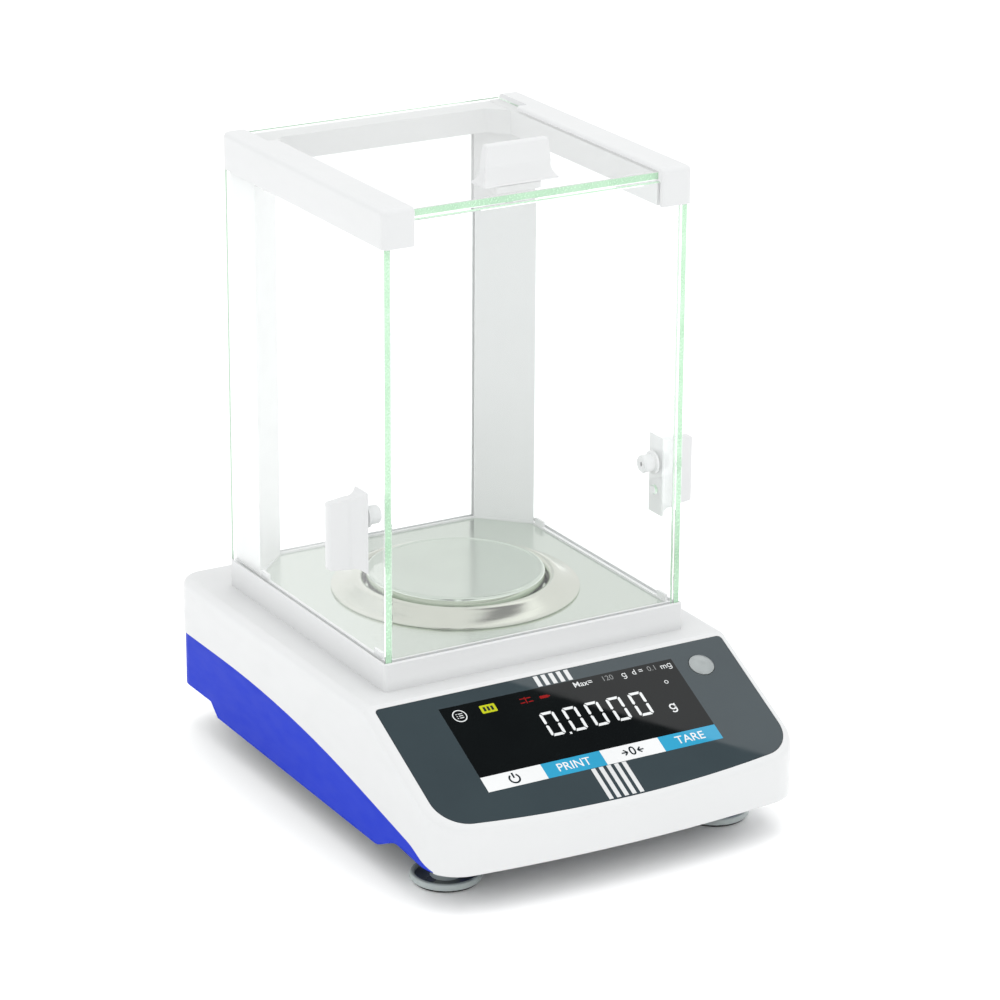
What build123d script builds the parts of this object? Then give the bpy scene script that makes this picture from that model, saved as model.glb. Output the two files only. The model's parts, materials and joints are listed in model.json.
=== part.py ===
from build123d import *
import math
import os

# Analytical balance with a glazed draught shield, in millimetres.
# +Z is up and the operator stands on the -Y side, with +X at the right hand.
# The origin lies on the table, at the centre of the footprint.

# ---------------------------------------------------------------- driving dimensions
# Housing
HALF_WIDTH = 105.0
REAR_Y = 146.0
FRONT_Y = -146.0
FRONT_SIDE_Y = -139.0
DECK_Z = 83.7
WALL = 2.5
TOP_EDGE_RADIUS = 4.5
FRONT_CORNER_RADIUS = 20.0
REAR_CORNER_RADIUS = 13.0
LOWER_INSET = 0.8
SKIRT_Z = 20.5
SKIRT_Y = -130.5
BELLY_Z = 15.0
BELLY_STEP_Y = (-100.0, -70.0)
BELLY_STEP_RADIUS = 14.0
RECESS_Z = 24.0

# Sloping control panel
PANEL_TILT = 26.66
PANEL_TOP_Y = -67.5
PANEL_TOP_Z = 82.4
PANEL_HALF_WIDTH = 100.3
PANEL_LENGTH = 84.8
PANEL_SIDE_LENGTH = 77.2
PANEL_THICKNESS = 1.2
DISPLAY_HALF_WIDTH = 70.0
DISPLAY_TOP = 5.0
DISPLAY_BOTTOM = 66.0
LEVEL_X = 80.2
LEVEL_DOWN = 16.0
LEVEL_RADIUS = 6.6

# Weighing pan and draught ring
PAN_Y = 28.35
PAN_RADIUS = 45.0
PAN_RIM_Z = 107.3
RING_RADIUS = 63.2
RING_HOLE_RADIUS = 46.4
RING_CREST_Z = 104.4

# Draught shield
SHIELD_HALF_WIDTH = 86.8
BASE_FRONT_Y = -53.3
BASE_REAR_Y = 116.6
BASE_TOP_Z = 98.15
FLOOR_TOP_Z = 97.1
FLOOR_HALF_WIDTH = 79.9
FLOOR_FRONT_Y = -46.2
FLOOR_REAR_Y = 111.0
CHAMFER_X = 57.6
CHAMFER_Y = 88.4
RAIL_FRONT_Y = -53.7
RAIL_REAR_Y = 117.3
RAIL_LOW_Z = 309.8
RAIL_TOP_Z = 329.3
RAIL_INNER_X = 69.1
RAIL_EDGE_RADIUS = 3.0
LIP_END_Y = 88.0
DOOR_INNER_X = 82.0
DOOR_GLASS = 3.5
DOOR_FRONT_Y = -51.3
DOOR_REAR_Y = 117.0
DOOR_LOW_Z = 94.6
DOOR_TOP_Z = 313.4
DOOR_GUIDES_Y = (-41.0, 82.0)
GLASS_GAP = 0.3
TOP_GLASS_HALF_WIDTH = 75.0
TOP_GLASS_Z = 323.0
TOP_GLASS = 4.0
TOP_GLASS_FRONT_Y = -49.0
TOP_GLASS_REAR_Y = 118.0
REAR_PANE_Y = 112.4
REAR_PANE = 3.0
POST_OUTER_X = 80.9
DOOR_GROOVE_X = (DOOR_INNER_X - GLASS_GAP, DOOR_INNER_X + DOOR_GLASS + GLASS_GAP)
FRONT_GROOVE_Y = (-51.5, -47.6)
REAR_GROOVE_Y = (REAR_PANE_Y - 0.2, REAR_PANE_Y + REAR_PANE + 0.2)

# Door handles
HANDLE_LENGTH = 42.0
HANDLE_WIDTH = 12.5
HANDLE_HEIGHT = 20.0
HANDLE_Y = -28.5
SIDE_HANDLE_Z = 161.0
KNOB_OFFSET = 7.0
PIN_SPACING = 15.0
PIN_RADIUS = 2.0
SIDE_PINS = [SIDE_HANDLE_Z + KNOB_OFFSET, SIDE_HANDLE_Z + KNOB_OFFSET - PIN_SPACING]
TOP_PINS = (-8.0, 8.0)

# Levelling feet
FOOT_RADIUS = 17.9
FRONT_FOOT = (78.2, -99.5)
REAR_FOOT = (50.0, 117.0)
FEET = {
    "front_left": (-FRONT_FOOT[0], FRONT_FOOT[1]),
    "front_right": (FRONT_FOOT[0], FRONT_FOOT[1]),
    "rear_left": (-REAR_FOOT[0], REAR_FOOT[1]),
    "rear_right": (REAR_FOOT[0], REAR_FOOT[1]),
}
STEM_RADIUS = 3.95
STEM_TOP_Z = 42.0
INSERT_RADIUS = 6.0
INSERT_LOW_Z = 24.3
INSERT_TOP_Z = 37.0

# Weighing cell
CARRIER_REAR_Y = 35.9
LEVER_PIVOT_Y = 50.0
LEVER_Z = 63.5
COIL_Y = 90.0
POT_RADIUS = 15.0
CHASSIS_Z = 30.0
CHASSIS_THICKNESS = 4.0

# Sockets in the rear wall
PLATE_HALF_WIDTH = 58.0
PLATE_LOW_Z = 30.5
PLATE_TOP_Z = 49.5
SOCKET_Z = 40.0
SERIAL_X = -30.0
USB_X = 6.0
JACK_X = 38.0

# Circuit boards
BOARD_Z = 36.0
BOARD_THICKNESS = 1.6
BOARD_HALF_WIDTH = 64.0
BOARD_FRONT_Y = -118.0
BOARD_REAR_Y = -36.0
BOARD_CORNERS = [(-59.0, -112.0), (59.0, -112.0), (-59.0, -42.0), (59.0, -42.0)]
DISPLAY_POSTS = [(-78.0, 8.0), (78.0, 32.0), (-78.0, 66.0), (78.0, 66.0)]
DISPLAY_BOARD_DEPTH = -8.9

# Fasteners: outer radius of each thread, and where the screws are
M3 = 1.5
M4 = 2.0
CHASSIS_CORNERS = [(-64.0, 0.0), (64.0, 0.0), (-64.0, 94.0), (64.0, 94.0)]
HOUSING_SCREWS = [(-94.0, 128.0, 50.0), (94.0, 128.0, 50.0), (-96.0, 20.0, 46.0),
                  (96.0, 20.0, 46.0), (-90.0, -118.0, 27.0), (90.0, -118.0, 27.0)]
HOUSING_SEAT_Z = 24.5
SHIELD_SCREWS = [(-72.0, 106.0), (72.0, 106.0), (-64.0, -38.0), (64.0, -38.0)]

# Hatch under the weighing hook
HATCH_RADIUS = 14.0
HATCH_SCREW_X = 19.5
HATCH_Z = BELLY_Z + 1.2
HATCH_THICKNESS = 1.8

TILT_SIN = math.sin(math.radians(PANEL_TILT))
TILT_COS = math.cos(math.radians(PANEL_TILT))
TILT_TAN = math.tan(math.radians(PANEL_TILT))
PANEL_PLANE = Plane(origin=(0, PANEL_TOP_Y, PANEL_TOP_Z), x_dir=(1, 0, 0),
                    z_dir=(0, -TILT_SIN, TILT_COS))
UP = (0, 0, 1)


# ---------------------------------------------------------------- small helpers
def block(x, y, z):
    """A box between a low and a high limit on each axis."""
    centre = ((x[0] + x[1]) / 2, (y[0] + y[1]) / 2, (z[0] + z[1]) / 2)
    return Pos(*centre) * Box(x[1] - x[0], y[1] - y[0], z[1] - z[0])


def rod(radius, x, y, low, high):
    """An upright cylinder."""
    return Pos(x, y, (low + high) / 2) * Cylinder(radius, high - low)


def tube(outer, inner, x, y, low, high):
    """An upright tube."""
    return rod(outer, x, y, low, high) - rod(inner, x, y, low, high)


def slab(points, low, high):
    """A plan outline of straight sides, raised from one height to another."""
    outline = make_face(Polyline(*points, close=True))
    return Pos(0, 0, low) * extrude(outline, high - low, dir=UP)


def turned(points, x, y):
    """A solid of revolution about an upright axis, from (radius, height) points."""
    profile = make_face(Polyline(*[(r, 0, z) for r, z in points], close=True))
    return Pos(x, y, 0) * revolve(profile, Axis.Z)


def mirrored(solid):
    """The same piece on the other side of the middle plane."""
    return mirror(solid, Plane.YZ)


def on_panel(x, down, solid):
    """Places a solid on the panel's surface: x across and a distance down the slope."""
    return PANEL_PLANE.location * Pos(x, -down, 0) * solid


def rearward(x, y, solid):
    """Turns an upright solid to lie along Y at the height of the sockets."""
    return Pos(x, y, SOCKET_Z) * Rot(90, 0, 0) * solid


def save(name, solid):
    """Writes one node of the assembly."""
    solid.label = name
    export_step(solid, os.path.join("parts", name + ".step"))


# ---------------------------------------------------------------- housing
def slope_z(y, inset):
    """Height of the sloping front surface, moved inward by an inset."""
    return PANEL_TOP_Z + (y - PANEL_TOP_Y) * TILT_TAN - inset / TILT_COS


def plan_outline(inset):
    """The housing seen from above: straight sides, a bowed front and round corners."""
    half = HALF_WIDTH - inset
    front = FRONT_Y + inset
    side_front = FRONT_SIDE_Y + inset
    rear = REAR_Y - inset
    bow = ThreePointArc((-half, side_front), (0, front), (half, side_front))
    sides = Polyline((half, side_front), (half, rear), (-half, rear), (-half, side_front))
    outline = make_face(bow.edges() + sides.edges())
    front_corners = outline.vertices().filter_by(lambda corner: corner.Y < 0)
    outline = fillet(front_corners, FRONT_CORNER_RADIUS - inset)
    rear_corners = [v for v in outline.vertices() if abs(v.X) > half - 0.01 and v.Y > rear - 0.01]
    return fillet(rear_corners, REAR_CORNER_RADIUS - inset)


def side_profile(inset, floor):
    """The housing seen from the side, with its belly raised by the floor's thickness."""
    top = DECK_Z - inset
    fold_y = PANEL_TOP_Y + (top - PANEL_TOP_Z + inset / TILT_COS) / TILT_TAN
    points = [
        (REAR_Y, RECESS_Z + floor),
        (107.0, RECESS_Z + floor),
        (99.0, BELLY_Z + 2.4 + floor),
        (-76.5, BELLY_Z + floor),
        (-94.8, 23.4 + floor),
        (-117.0, 21.6 + floor),
        (FRONT_Y, SKIRT_Z + floor),
        (FRONT_Y, slope_z(FRONT_Y, inset)),
        (fold_y, top),
        (REAR_Y, top),
    ]
    outline = make_face(Polyline(*points, close=True))
    near_step = [v for v in outline.vertices() if BELLY_STEP_Y[0] < v.X < BELLY_STEP_Y[1]]
    outline = fillet([v for v in near_step if v.Y < top / 2], BELLY_STEP_RADIUS)
    return extrude(Plane.YZ * outline, HALF_WIDTH + 5, both=True)


def envelope(inset, floor):
    """The closed outer form of the housing, moved inward by an inset."""
    return extrude(plan_outline(inset), 120, dir=UP) & side_profile(inset, floor)


def rounded_envelope():
    """The outer form with its upper edges rounded."""
    form = envelope(0, 0)
    deck = form.faces().sort_by(Axis.Z)[-1]
    slope = [f for f in form.faces() if abs(f.normal_at().Z - TILT_COS) < 0.01][0]
    fold = slope.edges().sort_by(Axis.Z)[-1].center()
    rim = [e for e in deck.edges() + slope.edges() if e.center().Z > SKIRT_Z + 10]
    rim = [e for e in rim if (e.center() - fold).length > 0.1]
    return fillet(rim, TOP_EDGE_RADIUS)


def seam_tool():
    """Everything below the line where the upper and lower shells meet: level, then down to the skirt."""
    flat_z = 53.8
    slope = 0.19
    knee_y = 16.5
    toe_y = -112.0
    toe_z = flat_z - slope * (knee_y - toe_y)
    rear = REAR_Y + 5
    points = [(rear, 0), (rear, flat_z), (knee_y, flat_z), (toe_y, toe_z),
              (SKIRT_Y, SKIRT_Z + 1.4), (SKIRT_Y, 0)]
    face = make_face(Polyline(*points, close=True))
    knee = [v for v in face.vertices() if abs(v.X - knee_y) < 0.01 and v.Y > 1]
    face = fillet(knee, 800)
    toe = [v for v in face.vertices() if abs(v.X - toe_y) < 0.01]
    face = fillet(toe, 40)
    return extrude(Plane.YZ * face, HALF_WIDTH + 5, both=True)


def screw_boss(x, y, low, high):
    """A round boss for a housing screw, before its hole."""
    return rod(5.0, x, y, low, high)


def upper_housing():
    """The white upper shell with its deck, sloping front and front skirt."""
    cavity = envelope(WALL, WALL)
    shell = rounded_envelope() - cavity - seam_tool()
    for x, y, split in HOUSING_SCREWS:
        shell += screw_boss(x, y, split, DECK_Z - 1) & envelope(1.0, 0)
    for x, y, split in HOUSING_SCREWS:
        shell -= rod(M4 - 0.1, x, y, split, split + 12)
    # opening for the shaft of the pan carrier, with a raised collar
    shell += tube(20, 16, 0, PAN_Y, DECK_Z - 1, DECK_Z + 5)
    shell -= rod(11, 0, PAN_Y, DECK_Z - 6, DECK_Z + 1)
    # clearance holes for the screws that hold the shield
    for x, y in SHIELD_SCREWS:
        shell -= rod(M4 + 0.3, x, y, DECK_Z - 6, DECK_Z + 1)
    # recess for the panel and window for the display
    shell -= panel_outline(0.2, -PANEL_THICKNESS, 8)
    middle = (DISPLAY_TOP + DISPLAY_BOTTOM) / 2
    window = Box(2 * DISPLAY_HALF_WIDTH + 2, DISPLAY_BOTTOM - DISPLAY_TOP + 2, 12)
    shell -= on_panel(0, middle, window)
    shell -= on_panel(LEVEL_X, LEVEL_DOWN, Cylinder(8.3, 12))
    # posts on the underside of the slope for the display board
    for x, down in DISPLAY_POSTS:
        post = on_panel(x, down, Pos(0, 0, -5.6) * Cylinder(3.2, 6.6))
        bore = on_panel(x, down, Pos(0, 0, -6.4) * Cylinder(M3 - 0.1, 5.2))
        shell = shell + post - bore
    return shell


def lower_housing():
    """The blue lower shell: floor, side walls, foot bosses and posts."""
    outer = envelope(LOWER_INSET, 0) & seam_tool()
    inner = envelope(LOWER_INSET + WALL, WALL)
    shell = outer - inner
    for x, y in FEET.values():
        shell += rod(INSERT_RADIUS + 4, x, y, RECESS_Z - 1.2, INSERT_TOP_Z)
    for x, y, split in HOUSING_SCREWS:
        shell += screw_boss(x, y, BELLY_Z + 1, split) & envelope(LOWER_INSET, 0)
    for x, y in BOARD_CORNERS:
        shell += rod(3.5, x, y, BELLY_Z + 1, BOARD_Z) & envelope(LOWER_INSET, 0)
    for x, y in CHASSIS_CORNERS:
        shell += screw_boss(x, y, BELLY_Z + 1, CHASSIS_Z) & envelope(LOWER_INSET, 0)
    for x, y in FEET.values():
        shell -= rod(INSERT_RADIUS + 1, x, y, BELLY_Z, INSERT_LOW_Z)
        shell -= rod(INSERT_RADIUS, x, y, BELLY_Z, INSERT_TOP_Z + 3)
    for x, y, split in HOUSING_SCREWS:
        shell -= rod(M4 + 0.3, x, y, BELLY_Z, split + 1)
        shell -= rod(4.2, x, y, BELLY_Z, HOUSING_SEAT_Z)
    for x, y in BOARD_CORNERS:
        shell -= rod(M3 - 0.1, x, y, BOARD_Z - 9, BOARD_Z + 1)
    for x, y in CHASSIS_CORNERS:
        shell -= rod(M4 - 0.1, x, y, CHASSIS_Z - 10, CHASSIS_Z + 1)
    # hatch opening under the weighing hook, with a shallow seat for its cover
    shell -= rod(HATCH_RADIUS - 3, 0, PAN_Y, BELLY_Z - 1, BELLY_Z + 2 * WALL)
    shell -= rod(M3 - 0.1, HATCH_SCREW_X, PAN_Y, BELLY_Z - 1, BELLY_Z + 4)
    # rear opening for the connector plate
    plate_width = (-PLATE_HALF_WIDTH, PLATE_HALF_WIDTH)
    return shell - block(plate_width, (REAR_Y - 12, REAR_Y + 5), (PLATE_LOW_Z, PLATE_TOP_Z))


# ---------------------------------------------------------------- panel, display and level
def panel_outline(gap, low, high):
    """The panel's form between two heights above its surface, grown by a gap."""
    half = PANEL_HALF_WIDTH + gap
    side = -PANEL_SIDE_LENGTH - gap
    bow = ThreePointArc((-half, side), (0, -PANEL_LENGTH - gap), (half, side))
    sides = Polyline((half, side), (half, gap), (-half, gap), (-half, side))
    face = make_face(bow.edges() + sides.edges())
    face = fillet(face.vertices().filter_by(lambda corner: corner.Y < -10), 18)
    top_corners = [v for v in face.vertices() if v.Y > gap - 0.01]
    face = fillet(top_corners, 2.5)
    return PANEL_PLANE.location * Pos(0, 0, low) * extrude(face, high - low, dir=UP)


def front_panel():
    """The flat glass front with touch keys; round hole for the level."""
    glass = panel_outline(0, -PANEL_THICKNESS, 0)
    return glass - on_panel(LEVEL_X, LEVEL_DOWN, Cylinder(LEVEL_RADIUS + 0.3, 6))


def display_module():
    """The liquid crystal display in its metal tray."""
    width = 2 * DISPLAY_HALF_WIDTH
    height = DISPLAY_BOTTOM - DISPLAY_TOP
    tray = Box(width, height, 4.2)
    tray = fillet(tray.edges().filter_by(Axis.Z), 2)
    glass = Pos(0, 0, 2.1) * Box(width - 6, height - 6, 0.9)
    middle = (DISPLAY_TOP + DISPLAY_BOTTOM) / 2
    return on_panel(0, middle, Pos(0, 0, -PANEL_THICKNESS - 0.45 - 2.1) * (tray + glass))


def display_board():
    """The circuit board behind the display, with its connector and touch controller."""
    middle = 37.5
    board = Box(170, 72, BOARD_THICKNESS)
    board += Pos(-30, -20, -2.3) * Box(40, 6, 3)
    board += Pos(25, 5, -1.7) * Box(14, 14, 1.8)
    for x, down in DISPLAY_POSTS:
        board -= Pos(x, middle - down, 0) * Cylinder(M3 + 0.2, 4)
    board -= Pos(LEVEL_X, middle - LEVEL_DOWN, 0) * Cylinder(9.5, 4)
    return on_panel(0, middle, Pos(0, 0, DISPLAY_BOARD_DEPTH - BOARD_THICKNESS / 2) * board)


def level_cup():
    """The cup that holds the spirit level under the panel."""
    cup = Pos(0, 0, -6.2) * Cylinder(8.0, 9.6) - Pos(0, 0, -3.6) * Cylinder(LEVEL_RADIUS + 0.1, 6.8)
    return on_panel(LEVEL_X, LEVEL_DOWN, cup)


def level_vial():
    """The round bubble level with its domed window."""
    dome_rise = 2.4
    sphere = (LEVEL_RADIUS ** 2 + dome_rise ** 2) / (2 * dome_rise)
    body = Pos(0, 0, -3.25) * Cylinder(LEVEL_RADIUS, 7.1)
    cap = Pos(0, 0, 0.3 + dome_rise - sphere) * Sphere(sphere)
    cap &= Pos(0, 0, 2.3) * Cylinder(LEVEL_RADIUS, 4)
    return on_panel(LEVEL_X, LEVEL_DOWN, body + cap)


# ---------------------------------------------------------------- boards and connectors
def main_board():
    """The main circuit board with its larger soldered parts."""
    top = BOARD_Z + BOARD_THICKNESS
    width = (-BOARD_HALF_WIDTH, BOARD_HALF_WIDTH)
    board = block(width, (BOARD_FRONT_Y, BOARD_REAR_Y), (BOARD_Z, top))
    board += block((-20, 4), (-90, -66), (top, top + 2))
    board += block((20, 34), (-84, -70), (top, top + 1.8))
    board += block((-50, -32), (-74, -56), (top, top + 8))
    board += block((-30, 10), (-48, -41), (top, top + 6))
    for x in (24, 36, 48):
        board += rod(4.5, x, -56, top, top + 9)
    for x, y in BOARD_CORNERS:
        board -= rod(M3 + 0.2, x, y, BOARD_Z - 1, top + 1)
    return board


def connector_plate():
    """The plate in the rear wall that carries the sockets."""
    plate = block((-PLATE_HALF_WIDTH + 0.2, PLATE_HALF_WIDTH - 0.2), (REAR_Y - 4.3, REAR_Y - 2.0),
                  (PLATE_LOW_Z + 0.2, PLATE_TOP_Z - 0.2))
    depth = (REAR_Y - 6, REAR_Y)
    plate -= block((SERIAL_X - 15.4, SERIAL_X + 15.4), depth, (SOCKET_Z - 6.2, SOCKET_Z + 6.2))
    plate -= block((USB_X - 6.1, USB_X + 6.1), depth, (SOCKET_Z - 5.6, SOCKET_Z + 5.6))
    return plate - rearward(JACK_X, REAR_Y - 3, Cylinder(5.1, 8))


def serial_port():
    """Nine-pole serial socket: flange, D-shaped shell and pins."""
    flange_y = REAR_Y - 4
    pitch = 2.74
    z = SOCKET_Z
    flange = block((SERIAL_X - 15.3, SERIAL_X + 15.3), (flange_y - 2, flange_y), (z - 6.1, z + 6.1))
    body = block((SERIAL_X - 9.5, SERIAL_X + 9.5), (flange_y - 12, flange_y - 2), (z - 5, z + 5))
    port = flange + body + d_prism(9.2, 7.6, 4.6) - d_prism(8.5, 6.9, 3.9)
    for row, count in ((pitch / 2, 5), (-pitch / 2, 4)):
        for index in range(count):
            pin_x = SERIAL_X + pitch * (index - (count - 1) / 2)
            port += rearward(pin_x, REAR_Y - 2.2, Pos(0, row, 0) * Cylinder(0.5, 4.2))
    for side in (-12.5, 12.5):
        port += rearward(SERIAL_X + side, REAR_Y - 2.2, Cylinder(2.4, 4) - Cylinder(1.3, 4.2))
    return port


def d_prism(top, bottom, half_height):
    """A D-shaped prism that stands out of the serial socket's flange, from its half widths."""
    outline = [(-top, half_height), (top, half_height), (bottom, -half_height), (-bottom, -half_height)]
    corners = [(SERIAL_X + x, REAR_Y - 4, SOCKET_Z + z) for x, z in outline]
    return extrude(make_face(Polyline(*corners, close=True)), 3.7, dir=(0, 1, 0))


def usb_port():
    """Square device socket with its tongue."""
    z = SOCKET_Z
    shell = block((USB_X - 6, USB_X + 6), (REAR_Y - 18, REAR_Y - 0.6), (z - 5.5, z + 5.5))
    shell -= block((USB_X - 4.3, USB_X + 4.3), (REAR_Y - 9, REAR_Y), (z - 3.8, z + 3.8))
    return shell + block((USB_X - 2.8, USB_X + 2.8), (REAR_Y - 10, REAR_Y - 2), (z - 1.4, z + 1.6))


def power_jack():
    """Barrel socket for the mains adapter."""
    half = 5.5
    width = (JACK_X - half, JACK_X + half)
    body = block(width, (REAR_Y - 17, REAR_Y - 4.5), (SOCKET_Z - half, SOCKET_Z + half))
    body += rearward(JACK_X, REAR_Y - 2.6, Cylinder(5.0, 4.0))
    body -= rearward(JACK_X, REAR_Y - 5.5, Cylinder(2.9, 10))
    return body + rearward(JACK_X, REAR_Y - 6.3, Cylinder(1.05, 8.8))


# ---------------------------------------------------------------- weighing cell
def chassis_plate():
    """The plate that ties the weighing cell to the lower shell."""
    plate = block((-72, 72), (-8, 125), (CHASSIS_Z, CHASSIS_Z + CHASSIS_THICKNESS))
    plate = fillet(plate.edges().filter_by(Axis.Z), 8)
    plate -= rod(9, 0, PAN_Y, 20, 50)
    for x, y in FEET.values():
        plate -= rod(12.5, x, y, 20, 50)
    for x, y in CHASSIS_CORNERS:
        plate -= rod(M4 + 0.3, x, y, 20, 50)
    return plate


def cell_frame():
    """The cast frame of the cell: base, cheeks, rear block and pivot bridge."""
    base = CHASSIS_Z + CHASSIS_THICKNESS
    frame = block((-26, 26), (44, 124), (base, base + 4))
    frame += block((-26, 26), (112, 124), (base, 73.5))
    for low, high in ((-26, -21), (21, 26)):
        frame += block((low, high), (44, 112), (base, 73.5))
    frame += block((-26, 26), (LEVER_PIVOT_Y - 3, LEVER_PIVOT_Y + 3), (70.0, 73.5))
    # thin flexure that ends just above the lever
    frame += block((-4, 4), (LEVER_PIVOT_Y - 0.3, LEVER_PIVOT_Y + 0.3), (LEVER_Z + 5.3, 70.0))
    return frame


def guide_arm(low):
    """One arm of the parallel guide, with thinned flexures at both ends."""
    ends = [(-22, 120), (22, 120), (9, CARRIER_REAR_Y + 0.3), (-9, CARRIER_REAR_Y + 0.3)]
    arm = slab(ends, low, low + 3)
    arm -= slab([(-15, 108), (15, 108), (6, 50), (-6, 50)], low - 1, low + 4)
    for y in (40.0, 108.5):
        arm -= block((-30, 30), (y, y + 3), (low + 1.0, low + 4))
    return arm


def upper_guide():
    """The upper guide arm, resting on the frame."""
    return guide_arm(73.5)


def lower_guide():
    """The lower guide arm, between the cheeks."""
    arm = guide_arm(39.5)
    arm &= block((-20.7, 20.7), (30, 111.8), (30, 50))
    feet = [block((x - 3, x + 3), (100, 111), (38, 39.5)) for x in (-16, 16)]
    arm -= rod(POT_RADIUS + 0.5, 0, COIL_Y, 30, 60)
    return arm + feet


def magnet_pot():
    """The steel pot of the force coil, with its ring-shaped air gap."""
    base = CHASSIS_Z + CHASSIS_THICKNESS + 4
    wall = POT_RADIUS - 3
    pole = POT_RADIUS - 7
    top = 61.5
    gap_floor = 45
    profile = [(0, base), (POT_RADIUS, base), (POT_RADIUS, top), (wall, top), (wall, gap_floor),
               (pole, gap_floor), (pole, top), (0, top)]
    return turned(profile, 0, COIL_Y)


def pan_carrier():
    """The hanger that carries the pan: block, upper shaft and lower hook rod."""
    carrier = block((-9, 9), (PAN_Y - 7.5, CARRIER_REAR_Y), (43, 72))
    carrier += rod(4.0, 0, PAN_Y, 72, 97.6)
    carrier += rod(3.0, 0, PAN_Y, 27, 43)
    # slot for the coupling to the lever
    slot_depth = (CARRIER_REAR_Y - 5, CARRIER_REAR_Y + 1)
    return carrier - block((-5.6, 5.6), slot_depth, (LEVER_Z - 4, LEVER_Z + 8))


def weighing_hook():
    """The ring under the carrier for weighing below the balance."""
    hook = Pos(0, PAN_Y, 22.5) * Rot(0, 90, 0) * Torus(3.2, 0.9)
    return hook + rod(1.6, 0, PAN_Y, 25.2, 27.0)


def pan_support():
    """The turned seat and centring pin that the pan sits on."""
    seat = 97.6
    profile = [(0, seat), (12, seat), (12, seat + 0.8), (4.0, seat + 0.8), (4.0, 103.8), (3.2, 104.6),
               (0, 104.6)]
    return turned(profile, 0, PAN_Y)


def coil_lever():
    """The lever that carries the force of the coil to the pan carrier."""
    low = LEVER_Z
    lever = block((-5, 5), (CARRIER_REAR_Y - 3, 104), (low, low + 5))
    lever -= block((-2.2, 2.2), (60, 76), (low - 1, low + 6))
    lever += rod(POT_RADIUS - 3.5, 0, COIL_Y, low, low + 2)
    return lever + block((-0.5, 0.5), (104, 110), (low, low + 5))


def force_coil():
    """The copper coil under the lever."""
    return tube(POT_RADIUS - 4, POT_RADIUS - 6, 0, COIL_Y, 50.5, LEVER_Z)


def position_sensor():
    """The light gate that reads the lever's tip."""
    gate = block((-8, 8), (105.6, 112), (LEVER_Z - 8, LEVER_Z + 8))
    gate -= block((-2.2, 2.2), (105, 110.8), (LEVER_Z - 4, LEVER_Z + 9))
    return gate


# ---------------------------------------------------------------- draught shield
def floor_points(grow):
    """Plan of the stainless floor with its two cut rear corners."""
    x = FLOOR_HALF_WIDTH + grow
    front = FLOOR_FRONT_Y - grow
    rear = FLOOR_REAR_Y + grow
    return [(-x, front), (x, front), (x, CHAMFER_Y), (CHAMFER_X, rear), (-CHAMFER_X, rear), (-x, CHAMFER_Y)]


def shield_base():
    """The white base frame with grooves for the doors and panes."""
    width = (-SHIELD_HALF_WIDTH, SHIELD_HALF_WIDTH)
    frame = block(width, (BASE_FRONT_Y, BASE_REAR_Y), (DECK_Z, BASE_TOP_Z))
    frame = fillet(frame.edges().filter_by(Axis.Z), 2.0)
    frame = fillet(frame.edges().group_by(Axis.Z)[-1], 0.5)
    frame -= slab(floor_points(0.2), FLOOR_TOP_Z - 1.2, BASE_TOP_Z + 1)
    frame -= slab(floor_points(-4.0), DECK_Z - 1, BASE_TOP_Z + 1)
    groove_z = (DOOR_LOW_Z - 0.4, BASE_TOP_Z + 1)
    door_groove = block(DOOR_GROOVE_X, (DOOR_FRONT_Y - 0.4, BASE_REAR_Y + 1), groove_z)
    frame = frame - door_groove - mirrored(door_groove)
    frame -= block((-81.8, 81.8), FRONT_GROOVE_Y, groove_z)
    frame -= block((-62, 62), REAR_GROOVE_Y, groove_z)
    for x, y in SHIELD_SCREWS[2:]:
        frame += block((x - 6, x + 6), (FLOOR_FRONT_Y, y + 6), (DECK_Z, 95.5))
    # low blocks that guide the doors from inside
    for y in DOOR_GUIDES_Y:
        guide_x = (FLOOR_HALF_WIDTH + 0.4, DOOR_GROOVE_X[0])
        guide = block(guide_x, (y - 4, y + 4), (BASE_TOP_Z - 4, BASE_TOP_Z + 3.2))
        frame = frame + guide + mirrored(guide)
    for x, y in SHIELD_SCREWS[:2]:
        frame -= rod(M4 + 0.3, x, y, DECK_Z - 1, BASE_TOP_Z + 1)
    for x, y in SHIELD_SCREWS[2:]:
        frame -= rod(M4 - 0.1, x, y, DECK_Z - 1, 94)
    return frame


def floor_plate():
    """The stainless floor of the weighing chamber."""
    plate = slab(floor_points(0), FLOOR_TOP_Z - 1.2, FLOOR_TOP_Z)
    return plate - rod(22, 0, PAN_Y, 90, 100)


def rear_post():
    """One rear corner post, on the right-hand side, with its slot for the rear pane."""
    plan = [(POST_OUTER_X, CHAMFER_Y), (POST_OUTER_X, 116.4), (57.4, 116.4), (57.4, 111.4)]
    post = slab(plan, BASE_TOP_Z, RAIL_LOW_Z)
    post -= block((50, 62), REAR_GROOVE_Y, (BASE_TOP_Z - 1, RAIL_LOW_Z + 1))
    x, y = SHIELD_SCREWS[0]
    post -= rod(M4 - 0.1, abs(x), y, BASE_TOP_Z - 1, BASE_TOP_Z + 16)
    return post


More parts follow.
